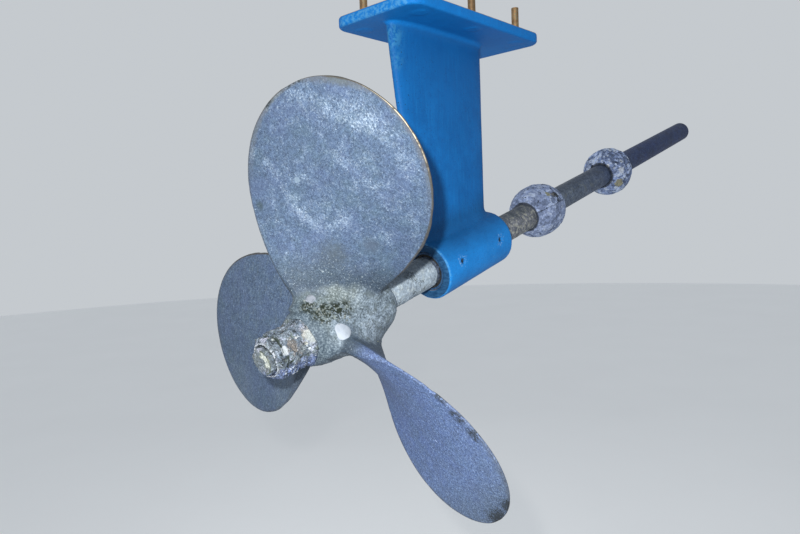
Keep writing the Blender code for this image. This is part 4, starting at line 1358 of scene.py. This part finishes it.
def bearing_look():
    """Brass shell whose end faces carry the strut's blue paint."""
    look = Look("painted_bearing_end")
    ahead, _, _ = look.parts(look.along)
    grain = look.noise(0.004)
    brass = grain.band(0.35, 0.65).between((200, 140, 65), (330, 235, 110))
    blue = grain.band(0.34, 0.66).between((8, 34, 88), (20, 76, 170))
    middle = abs(ahead - BARREL_LENGTH / 2)
    ends = middle.band(BARREL_LENGTH / 2 - 0.0045, BARREL_LENGTH / 2 - 0.0035)
    look.colour = ends.between(brass, blue)
    return look.done(0.6, 0.4, (grain, 0.0005, 0.6))


# Barnacles and scars


def surface_tree(piece):
    """A search tree over the piece's faces, in the row's frame."""
    work = bmesh.new()
    work.from_mesh(piece.data)
    tree = BVHTree.FromBMesh(work)
    work.free()
    return tree


def landing(tree, x, degrees):
    """Where a ray from outside meets the surface at a place along the shaft and an angle."""
    start = SHAFT_FRAME @ Vector(around(x, RAY_START, degrees))
    end = SHAFT_FRAME @ Vector((x, 0.0, 0.0))
    point, normal, _, _ = tree.ray_cast(start, (end - start).normalized(), RAY_START)
    return point, normal


def scar(tree, name, x, degrees, size, thick, corners, turn):
    """A thin smooth patch laid on the crust, with a rounded outline of a few corners."""
    share = np.linspace(1.0, 0.0, 10)[:-1, None]
    angle = np.arange(SCAR_POINTS) * 2 * math.pi / SCAR_POINTS
    outline = 1 + 0.10 * np.cos(corners * angle + turn) + 0.02 * np.cos(5 * angle + 2 * turn)
    outline = size / 2 * outline
    nearby = itertools.product((-0.3, 0.0, 0.3), repeat=2)
    centre, _ = landing(tree, x, degrees)
    normals = [
        landing(tree, x + a * size, degrees + math.degrees(b * size / HUB_R))[1] for a, b in nearby
    ]
    normal = sum(normals, Vector()).normalized()
    along = (SHAFT_RUN - normal * SHAFT_RUN.dot(normal)).normalized()
    across = normal.cross(along)
    a = share * outline * np.cos(angle)
    b = share * outline * np.sin(angle)
    # How far the crust stands off the patch's own plane, smoothed by a cubic
    depth = []
    for p, q in zip(a.ravel(), b.ravel()):
        start = centre + along * p + across * q + normal * SCAR_RAY
        _, _, _, gap = tree.ray_cast(start, -normal, 0.05)
        depth.append(SCAR_RAY - (gap or SCAR_RAY))
    depth = np.array(depth)
    p, q = a.ravel() / size, b.ravel() / size
    terms = np.stack([p**i * q**j for i in range(4) for j in range(4 - i)], 1)
    smooth = terms @ np.linalg.lstsq(terms, depth, rcond=None)[0]
    lift = np.maximum(smooth, depth - 0.0002).reshape(a.shape)
    lift += np.where(share < 1.0, 0.0004 + thick * (1 - share**8), -0.0012)
    rings = np.array(centre) + a[..., None] * np.array(along) + b[..., None] * np.array(across)
    rings = rings + lift[..., None] * np.array(normal)
    return tube(name, in_shaft(rings.reshape(-1, 3)).reshape(rings.shape))


def barnacle_mesh(work, point, normal, base, height, turn, lean):
    """A small ribbed cone with a hole in its top."""
    tangent = normal.orthogonal().normalized()
    other = normal.cross(tangent)
    rows = []
    for radius, rise in BARNACLE_LEVELS:
        row = []
        for k in range(BARNACLE_POINTS):
            angle = turn + 2 * math.pi * k / BARNACLE_POINTS
            rib = 1 + 0.10 * math.cos(6 * (angle - turn)) * (radius > 0.45)
            across = tangent * math.cos(angle) * radius * rib * base / 2
            up = other * math.sin(angle) * radius * rib * base / 2
            place = point + across + up + normal * rise * height + tangent * lean * rise * height
            row.append(work.verts.new(place))
        rows.append(row)
    for low, high in zip(rows, rows[1:]):
        for k in range(BARNACLE_POINTS):
            j = (k + 1) % BARNACLE_POINTS
            work.faces.new((low[k], low[j], high[j], high[k]))
    work.faces.new(list(reversed(rows[0])))
    work.faces.new(rows[-1])


def grow_barnacles(name, tree, look):
    """Scatter barnacles on the hub in clusters, all in one mesh."""
    work = bmesh.new()
    number = 0
    for x, degrees, spread, count, least, largest in HUB_CLUSTERS:
        for _ in range(count):
            number += 1
            draws = lattice(np.array([[number, k, BARNACLE_SEED] for k in range(7)]), BARNACLE_SEED)
            place = x + spread * (draws[0] + draws[1] - 1)
            turn = degrees + math.degrees(spread * (draws[2] + draws[3] - 1) / 0.045)
            point, normal = landing(tree, place, turn)
            if point is None:
                continue
            size = least + (largest - least) * draws[4] ** 2
            height = size * (0.35 + 0.3 * draws[5])
            barnacle_mesh(work, point, normal, size, height, 6.28 * draws[6], 0.3 * (draws[5] - 0.5))
    mesh = bpy.data.meshes.new(name)
    work.normal_update()
    work.to_mesh(mesh)
    work.free()
    finish_piece(add_object(name, mesh), name, "rotor", look, BLADE_SLOT)


def barnacle_look():
    """Chalky shell with darker ribs."""
    look = Look("barnacle_shell")
    fine = look.noise(0.0012, 3.0, 0.7)
    tone = look.noise(0.010, 3.0, 0.6)
    look.colour = tone.band(0.4, 0.6).between((80, 96, 88), (170, 195, 200))
    look.coat(fine.band(0.52, 0.66) * 0.6, (100, 118, 120))
    return look.done(0.85, 0.4, (fine, 0.0004, 0.7))


def scar_look(name, base, stain):
    """Bare smooth patch, stained in clouds."""
    look = Look(name)
    fine = look.noise(0.0015, 3.0, 0.7)
    tone = look.noise(0.008, 3.0, 0.6)
    look.colour = tone.band(0.48, 0.64).between(base, stain)
    look.coat(fine.band(0.56, 0.68) * 0.4, stain)
    return look.done(0.7, 0.4, (fine, 0.0002, 0.4))


# Camera, light and floor


def aim(place, target):
    matrix = (Vector(target) - Vector(place)).to_track_quat("-Z", "Y").to_matrix().to_4x4()
    matrix.translation = place
    return matrix


def make_camera():
    """The camera that took the photograph; its right and up directions are given back."""
    data = bpy.data.cameras.new("camera")
    data.sensor_width = SENSOR
    data.lens = LENS
    data.clip_start = 0.02
    camera = add_object("camera", data)
    ahead = CAMERA_AHEAD.normalized()
    right = (CAMERA_RIGHT - ahead * CAMERA_RIGHT.dot(ahead)).normalized()
    up = right.cross(ahead)
    matrix = Matrix((right, up, -ahead)).transposed().to_4x4()
    matrix.translation = CAMERA_PLACE
    camera.matrix_world = matrix
    bpy.context.scene.camera = camera
    return right, up


def add_light(name, place, target, size, power, colour):
    data = bpy.data.lights.new(name, "AREA")
    data.shape = "DISK"
    data.size = size
    data.energy = power
    data.color = colour
    light = add_object(name, data)
    light.matrix_world = aim(place, target)


def make_studio():
    right, up = make_camera()
    hub = SHAFT_FRAME @ Vector((-0.1, 0.0, 0.0))
    add_light("key", CAMERA_PLACE - right * 0.060 + up * 0.080, hub, 0.030, 19.0, (1.0, 0.97, 0.93))
    add_light("back_fill", (1.8, 1.9, 0.9), hub, 1.6, 10.0, (0.95, 0.98, 1.0))
    add_light("side_fill", (-0.9, 2.0, -0.1), hub, 1.2, 4.0, (0.92, 0.96, 1.0))
    world = bpy.data.worlds.new("studio")
    world.use_nodes = True
    world.node_tree.nodes["Background"].inputs["Color"].default_value = (0.90, 0.95, 1.0, 1.0)
    world.node_tree.nodes["Background"].inputs["Strength"].default_value = 0.62
    bpy.context.scene.world = world
    bpy.context.scene.view_settings.view_transform = "Standard"
    mesh = bpy.data.meshes.new("floor")
    with drawing(mesh) as work:
        bmesh.ops.create_circle(work, cap_ends=True, segments=96, radius=FLOOR_R)
        bmesh.ops.translate(work, verts=work.verts, vec=(0.3, 0.0, FLOOR_Z))
    floor = add_object("floor", mesh)
    paint = Look("pale_floor")
    paint.colour = paint.noise(0.8, 3.0, 0.55).between((860, 870, 880), (900, 910, 920))
    floor.data.materials.append(paint.done(0.85, 0.4))


make_studio()
dress_nodes()
propeller = make_propeller()
finish_piece(propeller, "propeller_casting", "rotor", propeller_look(), BLADE_SLOT, "propeller")
finish_piece(make_strut(), "strut_skin", "strut", strut_look(), "blue_antifouling", "strut_casting")
zincs = {
    "aft": anode_look("aft_zinc", (166, 214, 345), (116, 150, 248), (258, 320, 470), 0.4, 0.6),
    "fore": anode_look("fore_zinc", (140, 190, 330), (70, 100, 190), (320, 392, 560), 0.85, 0.15),
}
for row, (end, look) in enumerate(zincs.items()):
    for column, side in enumerate(("upper", "lower")):
        anode = make_anode(end, side, 400 + 40 * row + 20 * column)
        half = f"{end}_{side}"
        finish_piece(anode, f"zinc_{half}", "rotor", look, "corroded_zinc", f"anode_{half}")
make_nuts(crust_look("nut_growth", NUT_SPOTS))
make_shaft_end(crust_look("stem_growth", STEM_SPOTS))
pale_crust = sleeve_look("pale_shaft_crust", (252, 316, 380), (182, 228, 280), (440, 510, 570), 0.3)
dark_crust = sleeve_look("dark_shaft_crust", (138, 148, 172), (56, 66, 88), (345, 350, 350), 0.7)
for name, look, *form in (
    ("shaft_crust_aft", pale_crust, -0.0035, -0.1243, 0.0010, 501),
    ("shaft_crust_middle", dark_crust, 0.3290, 0.1965, 0.0006, 531),
):
    finish_piece(make_sleeve(name, *form), name, "rotor", look, "dull_shaft_steel")
hub_tree = surface_tree(propeller)
white_scar = scar_look("white_scar", (270, 308, 360), (238, 276, 328))
pale_scar = scar_look("pale_scar", (192, 216, 256), (100, 118, 140))
for name, look, *form in (
    ("hub_scar_large", white_scar, -0.2461, -84.0, 0.0260, 0.0008, 3, 0.5),
    ("hub_scar_small", pale_scar, -0.2505, -7.2, 0.0148, 0.0005, 4, 2.2),
):
    finish_piece(scar(hub_tree, name, *form), name, "rotor", look, BLADE_SLOT)
grow_barnacles("hub_barnacles", hub_tree, barnacle_look())
